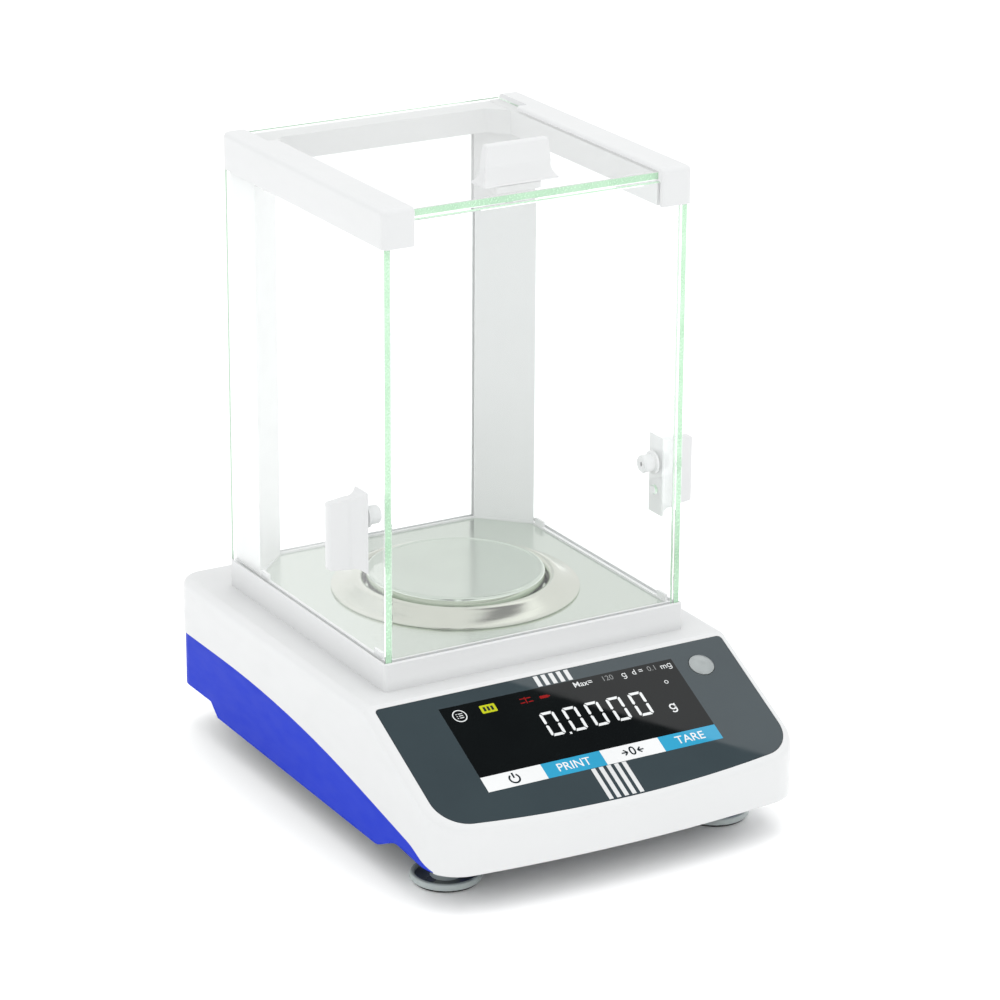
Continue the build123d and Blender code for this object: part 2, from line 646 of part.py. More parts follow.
def rail():
    """One top rail, on the right-hand side, with its grooves for glass."""
    form = block((RAIL_INNER_X, SHIELD_HALF_WIDTH), (RAIL_FRONT_Y, RAIL_REAR_Y), (RAIL_LOW_Z, RAIL_TOP_Z))
    outer = [e for e in form.edges() if e.center().Z > RAIL_TOP_Z - 0.1 and e.center().X > RAIL_INNER_X + 1]
    ends = [e for e in form.edges().filter_by(Axis.Z) if e.center().X > SHIELD_HALF_WIDTH - 1]
    form = fillet(outer + ends, RAIL_EDGE_RADIUS)
    inner_front = form.edges().filter_by(Axis.Z).sort_by(Axis.X)[:2]
    form = fillet([e for e in inner_front if e.center().Y < 0], 1.5)
    rear = RAIL_REAR_Y + 1
    form -= block(DOOR_GROOVE_X, (DOOR_FRONT_Y - 0.4, rear), (RAIL_LOW_Z - 1, DOOR_TOP_Z + 0.5))
    # groove for the top pane, open upward over the rear end
    groove_x = (RAIL_INNER_X - 1, TOP_GLASS_HALF_WIDTH + GLASS_GAP)
    groove_low = TOP_GLASS_Z - 0.2
    groove_top = TOP_GLASS_Z + TOP_GLASS + GLASS_GAP
    form -= block(groove_x, (TOP_GLASS_FRONT_Y - 0.6, rear), (groove_low, groove_top))
    form -= block(groove_x, (LIP_END_Y, rear), (groove_low, RAIL_TOP_Z + 1))
    return form - block((RAIL_INNER_X - 1, DOOR_INNER_X), FRONT_GROOVE_Y, (RAIL_LOW_Z - 1, 322.4))


def rear_crossbar():
    """The bar between the rails at the rear, with its two corner webs."""
    x = RAIL_INNER_X
    plan = [(-x, 94), (-60, 104), (60, 104), (x, 94), (x, 117), (-x, 117)]
    bar = slab(plan, RAIL_LOW_Z, 322.5)
    bar = fillet(bar.edges().filter_by(Axis.Z).sort_by(Axis.Y)[2:4], 6)
    return bar - block((-62, 62), REAR_GROOVE_Y, (RAIL_LOW_Z - 1, 315))


def front_pane():
    """The fixed front pane."""
    return glass_plate(block((-81.5, 81.5), (-51.3, -47.8), (DOOR_LOW_Z, 322.0)))


def rear_pane():
    """The fixed rear pane."""
    return glass_plate(block((-61.6, 61.6), (REAR_PANE_Y, REAR_PANE_Y + REAR_PANE), (DOOR_LOW_Z, 314.6)))


def glass_plate(plate):
    """A pane with its sharp edges ground off."""
    return chamfer(plate.edges(), 0.3)


def side_glass():
    """The right-hand sliding pane with two holes for its handle."""
    thickness = (DOOR_INNER_X, DOOR_INNER_X + DOOR_GLASS)
    pane = glass_plate(block(thickness, (DOOR_FRONT_Y, DOOR_REAR_Y), (DOOR_LOW_Z, DOOR_TOP_Z)))
    for z in SIDE_PINS:
        pane -= Pos(DOOR_INNER_X, HANDLE_Y, z) * Rot(0, 90, 0) * Cylinder(PIN_RADIUS + 0.3, 20)
    return pane


def top_glass():
    """The sliding top pane with two holes for its handle."""
    width = (-TOP_GLASS_HALF_WIDTH, TOP_GLASS_HALF_WIDTH)
    depth = (TOP_GLASS_FRONT_Y, TOP_GLASS_REAR_Y)
    pane = glass_plate(block(width, depth, (TOP_GLASS_Z, TOP_GLASS_Z + TOP_GLASS)))
    for x in TOP_PINS:
        pane -= rod(PIN_RADIUS + 0.3, x, HANDLE_Y, TOP_GLASS_Z - 1, TOP_GLASS_Z + TOP_GLASS + 1)
    return pane


def flared(width, narrow, top_width, knee):
    """Half profiles joined into a face: wide at the glass and drawn in to a slim ridge."""
    foot = 0.9
    bend = ((width + 2 * narrow) / 3, foot + (knee - foot) / 3.2)
    right = [Line((width, 0), (width, foot)), ThreePointArc((width, foot), bend, (narrow, knee)),
             Line((narrow, knee), (top_width, HANDLE_HEIGHT))]
    half = Line((0, HANDLE_HEIGHT), (0, 0)).edges() + Line((0, 0), (width, 0)).edges()
    half += Line((top_width, HANDLE_HEIGHT), (0, HANDLE_HEIGHT)).edges()
    for piece in right:
        half += piece.edges()
    face = make_face(half)
    return face + mirror(face, Plane.YZ)


def handle():
    """A door handle on its pane: long side along X, standing up along Z."""
    long_side = extrude(Plane.XZ * flared(HANDLE_LENGTH / 2, 18.4, 17.2, 8.0), 20, both=True)
    short_side = extrude(Plane.YZ * flared(HANDLE_WIDTH / 2, 2.9, 2.3, 9.0), 30, both=True)
    grip = long_side & short_side
    ridge = [e for e in grip.edges() if e.center().Z > HANDLE_HEIGHT - 0.1]
    return fillet(ridge, 1.6)


def handle_pins(reach):
    """The two pins that pass through the pane, one long for the knob and one short."""
    pins = Pos(KNOB_OFFSET, 0, -reach / 2) * Cylinder(PIN_RADIUS, reach)
    return pins + Pos(KNOB_OFFSET - PIN_SPACING, 0, -2.2) * Cylinder(PIN_RADIUS, 4.4)


def side_handle():
    """The right-hand door's handle, with its long side upright."""
    grip = handle() + handle_pins(9.0)
    return Pos(DOOR_INNER_X + DOOR_GLASS, HANDLE_Y, SIDE_HANDLE_Z) * Rot(0, 90, 0) * Rot(0, 0, 180) * grip


def side_knob():
    """The round nut inside the right-hand door."""
    knob = turned([(0, 0), (6, 0), (6, 1.2), (4.7, 1.8), (4.7, 6.6), (4.1, 7.4), (0, 7.4)], 0, 0)
    knob -= Pos(0, 0, 2.8) * Cylinder(PIN_RADIUS + 0.05, 5.8)
    knob -= Pos(0, 0, 6.7) * Cylinder(1.2, 4)
    return Pos(DOOR_INNER_X, HANDLE_Y, SIDE_PINS[0]) * Rot(0, -90, 0) * knob


def top_handle():
    """The top door's handle."""
    grip = handle()
    for x in TOP_PINS:
        grip += Pos(x, 0, -3.2) * Cylinder(PIN_RADIUS, 6.4)
    return Pos(0, HANDLE_Y, TOP_GLASS_Z + TOP_GLASS) * grip


def top_plate():
    """The backing plate under the top pane."""
    plate = block((-13, 13), (HANDLE_Y - 4.5, HANDLE_Y + 4.5), (TOP_GLASS_Z - 3.2, TOP_GLASS_Z))
    plate = fillet(plate.edges().filter_by(Axis.Z), 2.5)
    for x in TOP_PINS:
        plate -= rod(PIN_RADIUS + 0.05, x, HANDLE_Y, TOP_GLASS_Z - 2.5, TOP_GLASS_Z + 1)
    return plate


# ---------------------------------------------------------------- pan and draught ring
def weighing_pan():
    """The round pan: flat top, rolled rim, down-turned wall and a hub underneath."""
    rim = PAN_RIM_Z
    wall = Line((PAN_RADIUS - 0.8, rim - 6.2), (PAN_RADIUS, rim - 6.2)).edges()
    wall += Line((PAN_RADIUS, rim - 6.2), (PAN_RADIUS, rim - 1.6)).edges()
    roll = [(PAN_RADIUS, rim - 1.6), (PAN_RADIUS - 0.47, rim - 0.47), (PAN_RADIUS - 1.6, rim)]
    wall += ThreePointArc(*roll).edges()
    wall += Line((PAN_RADIUS - 1.6, rim), (PAN_RADIUS - 3.2, rim - 0.5)).edges()
    wall += Line((PAN_RADIUS - 3.2, rim - 0.5), (0, rim - 0.5)).edges()
    wall += Line((0, rim - 0.5), (0, rim - 1.3)).edges()
    wall += Line((0, rim - 1.3), (PAN_RADIUS - 0.8, rim - 1.3)).edges()
    wall += Line((PAN_RADIUS - 0.8, rim - 1.3), (PAN_RADIUS - 0.8, rim - 6.2)).edges()
    dish = revolve(Plane.XZ * make_face(wall), Axis.Z)
    hub = rod(8, 0, 0, 98.5, rim - 1.2)
    hub -= rod(4.08, 0, 0, 98, 104.8)
    hub -= Pos(0, 0, 99.0) * Cone(5.2, 4.08, 1.0)
    return Pos(0, PAN_Y, 0) * (dish + hub)


def draft_ring():
    """The shallow ring around the pan, pressed from sheet with a rolled outer edge."""
    low = FLOOR_TOP_Z
    crest = RING_CREST_Z
    sheet = 0.9
    hole_z = 101.6
    outer = [(RING_RADIUS - 0.9, low), (RING_RADIUS, low + 0.5), (RING_RADIUS - 0.4, low + 1.3),
             (58.5, low + 4.2), (54.0, low + 6.2), (51.2, crest - 0.2),
             (50.0, crest), (48.8, crest - 0.4), (RING_HOLE_RADIUS, hole_z)]
    inner = [(RING_HOLE_RADIUS, hole_z - sheet), (48.4, crest - 0.4 - sheet), (50.0, crest - sheet),
             (54.0, low + 6.2 - sheet), (58.5, low + 4.2 - sheet), (RING_RADIUS - 1.5, low + 0.7),
             (RING_RADIUS - 1.9, low)]
    return turned(outer + inner, 0, PAN_Y)


# ---------------------------------------------------------------- feet
def foot_pad(x, y):
    """The rubber pad that stays still on the table."""
    return turned([(0, 0), (15.6, 0), (16.4, 0.4), (16.4, 1.2), (0, 1.2)], x, y)


def foot_screw(x, y):
    """The turning foot: rimmed disc, hub and threaded stem."""
    rim = FOOT_RADIUS
    rim_z = 4.8
    web_z = 2.8
    hub = 6.4
    hub_z = 22.4
    disc = [(0, 1.3), (rim - 0.9, 1.3), (rim, 2.0), (rim - 0.4, rim_z - 0.4), (rim - 0.9, rim_z),
            (rim - 2.0, rim_z), (rim - 2.4, web_z), (hub + 1.6, web_z), (hub, web_z + 1.2)]
    stem = [(hub, hub_z), (STEM_RADIUS, hub_z), (STEM_RADIUS, STEM_TOP_Z - 1),
            (STEM_RADIUS - 0.95, STEM_TOP_Z), (0, STEM_TOP_Z)]
    return turned(disc + stem, x, y)


def foot_inserts():
    """The four threaded brass inserts, one for each foot."""
    bore = 4.0
    inserts = [tube(INSERT_RADIUS, bore, x, y, INSERT_LOW_Z, INSERT_TOP_Z) for x, y in FEET.values()]
    return Compound(children=inserts)


# ---------------------------------------------------------------- hatch
def hook_cover():
    """The round cover of the hook hatch, which swings aside about its screw."""
    low = HATCH_Z - HATCH_THICKNESS
    ear = 5.0
    cover = rod(HATCH_RADIUS, 0, PAN_Y, low, HATCH_Z)
    cover += rod(ear, HATCH_SCREW_X, PAN_Y, low, HATCH_Z)
    cover += block((0, HATCH_SCREW_X), (PAN_Y - ear, PAN_Y + ear), (low, HATCH_Z))
    return cover - rod(M3 + 0.08, HATCH_SCREW_X, PAN_Y, low - 1, HATCH_Z + 1)


def hook_cover_screw():
    """The screw that the hatch cover turns on."""
    return screw(M3, 2.6, 1.1, HATCH_SCREW_X, PAN_Y, HATCH_Z - HATCH_THICKNESS - 0.1, 6.5)


# ---------------------------------------------------------------- screws
def screw(radius, head_radius, head, x, y, seat, length):
    """A pan-head screw pointing up from its seat, with its head below."""
    shank = rod(radius - 0.12, x, y, seat, seat + length)
    cap = rod(head_radius, x, y, seat - head, seat)
    drive = rod(head_radius * 0.45, x, y, seat - head, seat - head * 0.4)
    return shank + cap - drive


def down_screw(radius, head_radius, head, x, y, seat, length):
    """A pan-head screw pointing down from its seat, with its head above."""
    shank = rod(radius - 0.12, x, y, seat - length, seat)
    cap = rod(head_radius, x, y, seat, seat + head)
    drive = rod(head_radius * 0.45, x, y, seat + head * 0.4, seat + head)
    return shank + cap - drive


def board_screws():
    """The screws of the main board and of the display board."""
    screws = [down_screw(M3, 2.8, 2.0, x, y, BOARD_Z + BOARD_THICKNESS, 7) for x, y in BOARD_CORNERS]
    for x, down in DISPLAY_POSTS:
        raised = screw(M3, 2.8, 2.0, 0, 0, DISPLAY_BOARD_DEPTH - BOARD_THICKNESS, 4.4)
        screws.append(on_panel(x, down, raised))
    return Compound(children=screws)


def chassis_screws():
    """The screws that hold the chassis plate."""
    seat = CHASSIS_Z + CHASSIS_THICKNESS
    return Compound(children=[down_screw(M4, 3.8, 2.6, x, y, seat, 12) for x, y in CHASSIS_CORNERS])


def housing_screws():
    """The screws that close the two shells, sunk in the underside."""
    seat = HOUSING_SEAT_Z
    screws = [screw(M4, 3.8, 2.6, x, y, seat, split - seat + 10) for x, y, split in HOUSING_SCREWS]
    return Compound(children=screws)


def shield_screws():
    """The screws that hold the shield to the deck, from inside the housing."""
    seat = DECK_Z - WALL
    lengths = (30, 30, 11, 11)
    screws = [screw(M4, 3.8, 2.6, x, y, seat, length) for (x, y), length in zip(SHIELD_SCREWS, lengths)]
    return Compound(children=screws)


# ---------------------------------------------------------------- the assembly
os.makedirs("parts", exist_ok=True)

for piece in (upper_housing, lower_housing, front_panel, display_module, display_board, level_cup, level_vial,
              main_board, connector_plate, serial_port, usb_port, power_jack, chassis_plate, cell_frame,
              upper_guide, lower_guide, magnet_pot, pan_carrier, weighing_hook, pan_support, coil_lever,
              force_coil, position_sensor, shield_base, floor_plate, rear_crossbar, front_pane, rear_pane,
              top_glass, top_handle, top_plate, weighing_pan, draft_ring, foot_inserts, hook_cover,
              hook_cover_screw, board_screws, chassis_screws, housing_screws, shield_screws):
    save(piece.__name__, piece())

for name, piece in (("rear_post", rear_post), ("rail", rail), ("door_glass", side_glass),
                    ("door_handle", side_handle), ("door_knob", side_knob)):
    right = piece()
    save("right_" + name, right)
    save("left_" + name, mirrored(right))

for name, (x, y) in FEET.items():
    save(name + "_foot_pad", foot_pad(x, y))
    save(name + "_foot_screw", foot_screw(x, y))
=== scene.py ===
import json
import math
import bmesh
import bpy
from mathutils import Matrix, Vector


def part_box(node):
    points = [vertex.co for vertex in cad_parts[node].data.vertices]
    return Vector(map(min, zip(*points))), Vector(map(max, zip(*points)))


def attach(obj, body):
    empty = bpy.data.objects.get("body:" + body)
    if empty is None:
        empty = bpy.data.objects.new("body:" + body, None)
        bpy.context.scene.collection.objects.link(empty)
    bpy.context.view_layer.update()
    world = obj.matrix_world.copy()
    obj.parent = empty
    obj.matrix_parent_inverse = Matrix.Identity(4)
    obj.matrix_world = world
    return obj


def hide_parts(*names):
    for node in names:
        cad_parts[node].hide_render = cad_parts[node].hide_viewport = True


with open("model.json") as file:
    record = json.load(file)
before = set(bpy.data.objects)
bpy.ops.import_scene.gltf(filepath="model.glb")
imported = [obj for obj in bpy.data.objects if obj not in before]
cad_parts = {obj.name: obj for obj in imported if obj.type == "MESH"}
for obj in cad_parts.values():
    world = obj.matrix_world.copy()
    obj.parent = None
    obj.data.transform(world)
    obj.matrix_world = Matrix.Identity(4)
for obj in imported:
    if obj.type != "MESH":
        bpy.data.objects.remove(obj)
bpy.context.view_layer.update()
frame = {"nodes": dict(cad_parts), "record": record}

# Looks of an analytical balance: materials, printed panel, turned pan and ring, floor, lights, camera.
# Blender units are metres. Lengths named here are in millimetres and pass through MM.
MM = 0.001

# ---------------------------------------------------------------- places read from the frame
PANEL_TILT = math.radians(26.66)
PANEL_THICKNESS = 1.2
panel_low, panel_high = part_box("front_panel")
pan_low, pan_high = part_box("weighing_pan")
ring_low, ring_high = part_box("draft_ring")
level_low, level_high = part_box("level_vial")

PAN_CENTRE = (pan_low + pan_high) / 2
PANEL_TOP_EDGE = Vector((0, panel_high.y - PANEL_THICKNESS * MM * math.sin(PANEL_TILT), panel_high.z))
PANEL_MATRIX = Matrix.Translation(PANEL_TOP_EDGE) @ Matrix.Rotation(PANEL_TILT, 4, "X")

# Display and key layout on the panel, in millimetres: x across and a distance down the slope
PRINT_SHIFT = -1.1
PRINT_THICKNESS = 0.05
LAYER_STEP = 0.6
WINDOW_HALF_WIDTH = 67.4
WINDOW_TOP = 8.0
KEYS_TOP = 54.1
KEYS_BOTTOM = 63.6
KEY_COUNT = 4
KEY_WIDTH = 2 * WINDOW_HALF_WIDTH / KEY_COUNT
BARS_BOTTOM = 84.0
HEADER_LINE = 11.4
DIGIT_COUNT = 5
DIGIT_LEFT = -18.9
DIGIT_PITCH = 12.8
DIGIT_WIDTH = 8.3
DIGIT_TOP = 23.7
DIGIT_BOTTOM = 39.4
DIGIT_STROKE = 1.6
DIGIT_GAP = 0.3

# Pan and draught ring, in millimetres
DISH_DEPTH = 0.5
LIP_RADIUS = 1.7
PAN_WALL_HEIGHT = 6.2
PAN_SHEET = 1.3
HUB_RADIUS = 8
BORE_RADIUS = 4.08
BORE_TOP = 104.8
RING_HOLE_RADIUS = 46.4
RING_SHEET = 0.9

# Studio: directions from the balance, brightnesses, and the light overhead
OVER_PANEL = (0.48, 0.15, 0.864)
SOFT_BOX_EDGE = (0.419, 0.822, -0.385)
DARK_SIDE = (-0.46, -0.82, 0.34)
STRIP_ACROSS = (0.872, -0.489, 0.0)
DARK_CLOTH = 0.08
ROOF_SHADE = 0.10
SOFT_BOX_GLOW = 1.45
HORIZON_GLOW = 1.02
STRIP_GLOW = 1.15
EVEN_GLOW = 1.58
EVEN_TINT = (0.985, 0.99, 0.995, 1)
KEY_PLACE = (0.3, 0.1, 2.4)
KEY_TARGET = (0, 0, 0.1)
KEY_SIZE = 1.6
KEY_POWER = 9
FLOOR_RADIUS = 24

# Camera: to the left of the balance and in front of it, looking a little down
CAMERA_PLACE = (-0.96229, -1.66716, 0.85191)
CAMERA_YAW = math.radians(-30.23)
CAMERA_PITCH = math.radians(19.97)
CAMERA_ROLL = math.radians(0.35)
CAMERA_LENS = 145.4


# ---------------------------------------------------------------- materials
class Paint:
    """One material built around a single Principled shader, textured in the object's own space."""

    def __init__(self, name, colour, roughness, metallic=0.0):
        self.material = bpy.data.materials.new(name)
        self.material.use_nodes = True
        self.nodes = self.material.node_tree.nodes
        self.links = self.material.node_tree.links
        self.shader = self.nodes["Principled BSDF"]
        self.shader.inputs["Base Color"].default_value = (*colour, 1)
        self.shader.inputs["Roughness"].default_value = roughness
        self.shader.inputs["Metallic"].default_value = metallic
        self.coordinates = self.nodes.new("ShaderNodeTexCoord").outputs["Object"]

    def set(self, **values):
        """Puts constants on the shader's own sockets."""
        for name, value in values.items():
            self.shader.inputs[name.replace("_", " ")].default_value = value
        return self

    def stretched(self, scale):
        """The object's coordinates with a scale for each axis."""
        mapping = self.nodes.new("ShaderNodeMapping")
        mapping.inputs["Scale"].default_value = scale
        self.links.new(self.coordinates, mapping.inputs["Vector"])
        return mapping.outputs["Vector"]

    def noise(self, scale, detail=2.0, stretch=None, rough=0.5):
        """Noise with that many cells to the metre."""
        node = self.nodes.new("ShaderNodeTexNoise")
        node.inputs["Scale"].default_value = scale
        node.inputs["Detail"].default_value = detail
        node.inputs["Roughness"].default_value = rough
        source = self.stretched(stretch) if stretch else self.coordinates
        self.links.new(source, node.inputs["Vector"])
        return node.outputs["Fac"]

    def spread(self, value, low, high, start=0.35, end=0.65):
        """A value remapped from one range to another, and clamped."""
        node = self.nodes.new("ShaderNodeMapRange")
        for name, number in (("From Min", start), ("From Max", end), ("To Min", low), ("To Max", high)):
            node.inputs[name].default_value = number
        self.links.new(value, node.inputs["Value"])
        return node.outputs["Result"]

    def math(self, operation, first, second=0.0):
        """One step of arithmetic on sockets or numbers."""
        node = self.nodes.new("ShaderNodeMath")
        node.operation = operation
        for socket, value in zip(node.inputs, (first, second)):
            if isinstance(value, (int, float)):
                socket.default_value = value
            else:
                self.links.new(value, socket)
        return node.outputs["Value"]

    def blend(self, factor, first, second):
        """A colour between two others, each a socket or three numbers."""
        node = self.nodes.new("ShaderNodeMix")
        node.data_type = "RGBA"
        self.links.new(factor, node.inputs["Factor"])
        for name, value in (("A", first), ("B", second)):
            socket = [i for i in node.inputs if i.name == name and i.type == "RGBA"][0]
            if isinstance(value, tuple):
                socket.default_value = (*value, 1)
            else:
                self.links.new(value, socket)
        return [o for o in node.outputs if o.type == "RGBA"][0]

    def link(self, value, name):
        """Feeds one of the shader's own sockets."""
        self.links.new(value, self.shader.inputs[name])
        return self

    def source(self, name):
        """What feeds one of the shader's own sockets."""
        return self.shader.inputs[name].links[0].from_socket

    def component(self, vector, axis):
        """One axis of a vector."""
        node = self.nodes.new("ShaderNodeSeparateXYZ")
        self.links.new(vector, node.inputs["Vector"])
        return node.outputs[axis]

    def vector_math(self, operation, first, second=(0, 0, 0)):
        """One step of arithmetic on a vector, as a node."""
        node = self.nodes.new("ShaderNodeVectorMath")
        node.operation = operation
        self.links.new(first, node.inputs[0])
        node.inputs[1].default_value = second
        return node.outputs

    def true_normal(self):
        """The flat normal of each face."""
        return self.nodes.new("ShaderNodeNewGeometry").outputs["True Normal"]

    def bump(self, height, strength, distance=0.0001):
        """Fine relief, in metres, from a height between 0 and 1."""
        node = self.nodes.new("ShaderNodeBump")
        node.inputs["Strength"].default_value = strength
        node.inputs["Distance"].default_value = distance
        self.links.new(height, node.inputs["Height"])
        return self.link(node.outputs["Normal"], "Normal")


def moulded(name, colour, darker, roughness, grain=1600, relief=0.12):
    """Injection-moulded plastic: faint clouding, satin with a fine spark-eroded grain."""
    paint = Paint(name, colour, roughness)
    clouds = paint.noise(9, 3)
    paint.link(paint.blend(paint.spread(clouds, 0, 1), colour, darker), "Base Color")
    wipes = paint.noise(60, 4, (1, 1, 3))
    paint.link(paint.spread(wipes, roughness - 0.05, roughness + 0.06), "Roughness")
    return paint.bump(paint.noise(grain, 2), relief, 0.00006)


def blue_shell(name):
    """The royal blue lower shell. It throws no blue light on the table, so the shadow there stays neutral."""
    bounce = (0.02, 0.032, 0.032)
    paint = moulded(name, (0.011, 0.033, 0.44), (0.010, 0.030, 0.415), 0.42)
    paint.set(Specular_IOR_Level=0.06)
    onto_others = paint.nodes.new("ShaderNodeLightPath").outputs["Is Diffuse Ray"]
    return paint.link(paint.blend(onto_others, paint.source("Base Color"), bounce), "Base Color")


def foot_grey(name):
    """Light grey feet, with painted shade on the upward faces inside each rim, darkened where the housing's
    shadow falls.
    """
    painted_web_shade = (0.07, 0.08, 0.08)
    web_top = 3.4 * MM
    level = 0.9
    paint = moulded(name, (0.36, 0.40, 0.395), (0.32, 0.36, 0.355), 0.3)
    below_rim = paint.math("LESS_THAN", paint.component(paint.coordinates, "Z"), web_top)
    upward = paint.math("GREATER_THAN", paint.component(paint.true_normal(), "Z"), level)
    # Painted shade: the upward faces inside the rim, below the rim top, take a dark grey.
    shaded_web = paint.math("MULTIPLY", below_rim, upward)
    return paint.link(paint.blend(shaded_web, paint.source("Base Color"), painted_web_shade), "Base Color")


def worked_metal(name, colour, darker, roughness, stretch, scale=1.0, relief=0.05, swing=0.05):
    """Metal with tool marks drawn out along one direction."""
    paint = Paint(name, colour, roughness, 1.0)
    marks = paint.noise(scale, 3, stretch)
    paint.link(paint.blend(paint.spread(marks, 0, 1), colour, darker), "Base Color")
    paint.link(paint.spread(marks, roughness - swing, roughness + swing), "Roughness")
    return paint.bump(marks, relief, 0.00003)


def turned_metal(name, colour, darker, roughness, centre, rings=2600, relief=0.05, swing=0.03):
    """Metal with fine rings about an upright axis, as a lathe or a spun disc leaves them."""
    paint = Paint(name, colour, roughness, 1.0)
    offset = paint.vector_math("SUBTRACT", paint.coordinates, centre)["Vector"]
    flat = paint.vector_math("MULTIPLY", offset, (1, 1, 0))["Vector"]
    radius = paint.vector_math("LENGTH", flat)["Value"]
    lines = paint.nodes.new("ShaderNodeTexNoise")
    lines.noise_dimensions = "1D"
    lines.inputs["Scale"].default_value = rings
    lines.inputs["Detail"].default_value = 2.0
    paint.links.new(radius, lines.inputs["W"])
    smudge = paint.noise(38, 4)
    paint.link(paint.blend(paint.spread(smudge, 0, 1), colour, darker), "Base Color")
    line_share = 0.6
    from_lines = paint.math("MULTIPLY", lines.outputs["Fac"], line_share)
    uneven = paint.math("ADD", from_lines, paint.math("MULTIPLY", smudge, 1 - line_share))
    paint.link(paint.spread(uneven, roughness - swing, roughness + swing), "Roughness")
    return paint.bump(lines.outputs["Fac"], relief, 0.00002)


def pane_glass(name, axis):
    """Clear float glass whose ground edges show green. Axis is across the pane's thickness."""
    clear = (0.975, 0.99, 0.982)
    green = (0.34, 0.55, 0.37)
    pale_green = (0.41, 0.62, 0.44)
    paint = Paint(name, clear, 0.0)
    paint.set(IOR=1.46)
    edge_opacity = 0.8
    facing = paint.math("ABSOLUTE", paint.component(paint.true_normal(), axis))
    edge = paint.math("LESS_THAN", facing, 0.5)
    streaks = paint.noise(60, 3)
    edge_colour = paint.blend(paint.spread(streaks, 0, 1), green, pale_green)
    paint.link(paint.blend(edge, clear, edge_colour), "Base Color")
    opaque = paint.math("MULTIPLY", edge, edge_opacity)
    paint.link(paint.math("SUBTRACT", 1.0, opaque), "Transmission Weight")
    ground = paint.spread(paint.noise(900, 2), 0.16, 0.3)
    smears = paint.spread(paint.noise(14, 4), 0.0, 0.012)
    rough = paint.math("ADD", paint.math("MULTIPLY", edge, ground), smears)
    return paint.link(rough, "Roughness")


def front_face(name, colour, darker):
    """The glossy front: even ink under hard glass, with the faintest change of gloss."""
    paint = Paint(name, colour, 0.01)
    paint.link(paint.blend(paint.spread(paint.noise(30, 3), 0, 1), colour, darker), "Base Color")
    return paint.link(paint.spread(paint.noise(80, 4), 0.004, 0.018), "Roughness")


def ink(name, colour, darker, glow=0.0):
    """Printed or lit ink on the panel, a little uneven as screen printing is. A glow makes it give light of
    its own, which on the printed key fields is painted light.
    """
    paint = front_face(name, colour, darker)
    if glow:
        paint.set(Emission_Color=(*colour, 1), Emission_Strength=glow)
    return paint


def circuit_board(name):
    """Green solder mask with copper tracks under it."""
    mask, track = (0.012, 0.12, 0.045), (0.03, 0.24, 0.08)
    paint = Paint(name, mask, 0.3)
    tracks = paint.nodes.new("ShaderNodeTexBrick")
    tracks.inputs["Scale"].default_value = 260
    tracks.inputs["Mortar Size"].default_value = 0.06
    paint.links.new(paint.coordinates, tracks.inputs["Vector"])
    paint.link(paint.blend(tracks.outputs["Fac"], mask, track), "Base Color")
    paint.link(paint.spread(paint.noise(300), 0.22, 0.4), "Roughness")
    return paint.bump(tracks.outputs["Fac"], 0.15, 0.00004)


def winding(name):
    """Enamelled copper wire, wound in level turns, with painted shade in the grooves between turns and a
    painted highlight on their crests.
    """
    paint = Paint(name, (0.62, 0.24, 0.09), 0.25, 1.0)
    turns = paint.nodes.new("ShaderNodeTexWave")
    turns.bands_direction = "Z"
    turns.inputs["Scale"].default_value = 520
    paint.links.new(paint.coordinates, turns.inputs["Vector"])
    # Painted shade and highlight: each turn darker in its grooves and lighter on its crest.
    shade = paint.spread(turns.outputs["Fac"], 0, 1, 0, 1)
    paint.link(paint.blend(shade, (0.3, 0.1, 0.035), (0.72, 0.3, 0.12)), "Base Color")
    paint.link(paint.spread(paint.noise(500), 0.18, 0.34), "Roughness")
    return paint.bump(turns.outputs["Fac"], 0.5, 0.0002)


def level_dome(name):
    """The clear dome over the pale fluid of the spirit level."""
    pale, deep = (0.40, 0.43, 0.43), (0.32, 0.35, 0.35)
    paint = Paint(name, pale, 0.36, 0.55)
    paint.link(paint.blend(paint.spread(paint.noise(70, 2), 0, 1), pale, deep), "Base Color")
    paint.link(paint.spread(paint.noise(240, 3), 0.32, 0.40), "Roughness")
    return paint.set(Coat_Weight=0.3, Coat_Roughness=0.2)


def studio_floor(name):
    """The white table under the balance."""
    pale, paler = (0.955, 0.955, 0.955), (0.97, 0.97, 0.97)
    paint = Paint(name, pale, 0.6)
    paint.set(Specular_IOR_Level=0.1)
    cloud = paint.noise(2.5, 2)
    paint.link(paint.blend(paint.spread(cloud, 0, 1), pale, paler), "Base Color")
    return paint.bump(paint.noise(700, 2), 0.04, 0.00005)


WHITE = moulded("white_moulding", (0.548, 0.553, 0.553), (0.536, 0.542, 0.542), 0.34)
BLUE = blue_shell("blue_moulding")
BLACK = moulded("black_moulding", (0.022, 0.022, 0.024), (0.016, 0.016, 0.018), 0.45)
GREY = foot_grey("grey_moulding")
RUBBER = moulded("dark_rubber", (0.03, 0.03, 0.03), (0.022, 0.022, 0.022), 0.72, 900, 0.3)
PANEL = front_face("panel_face", (0.032, 0.045, 0.051), (0.030, 0.042, 0.048))
WINDOW = front_face("display_window", (0.003, 0.0042, 0.0045), (0.0025, 0.0034, 0.0038))
WINDOW.set(Specular_IOR_Level=0.36)
LIT_WHITE = ink("lit_white", (0.568, 0.581, 0.581), (0.528, 0.541, 0.541), 0.1)
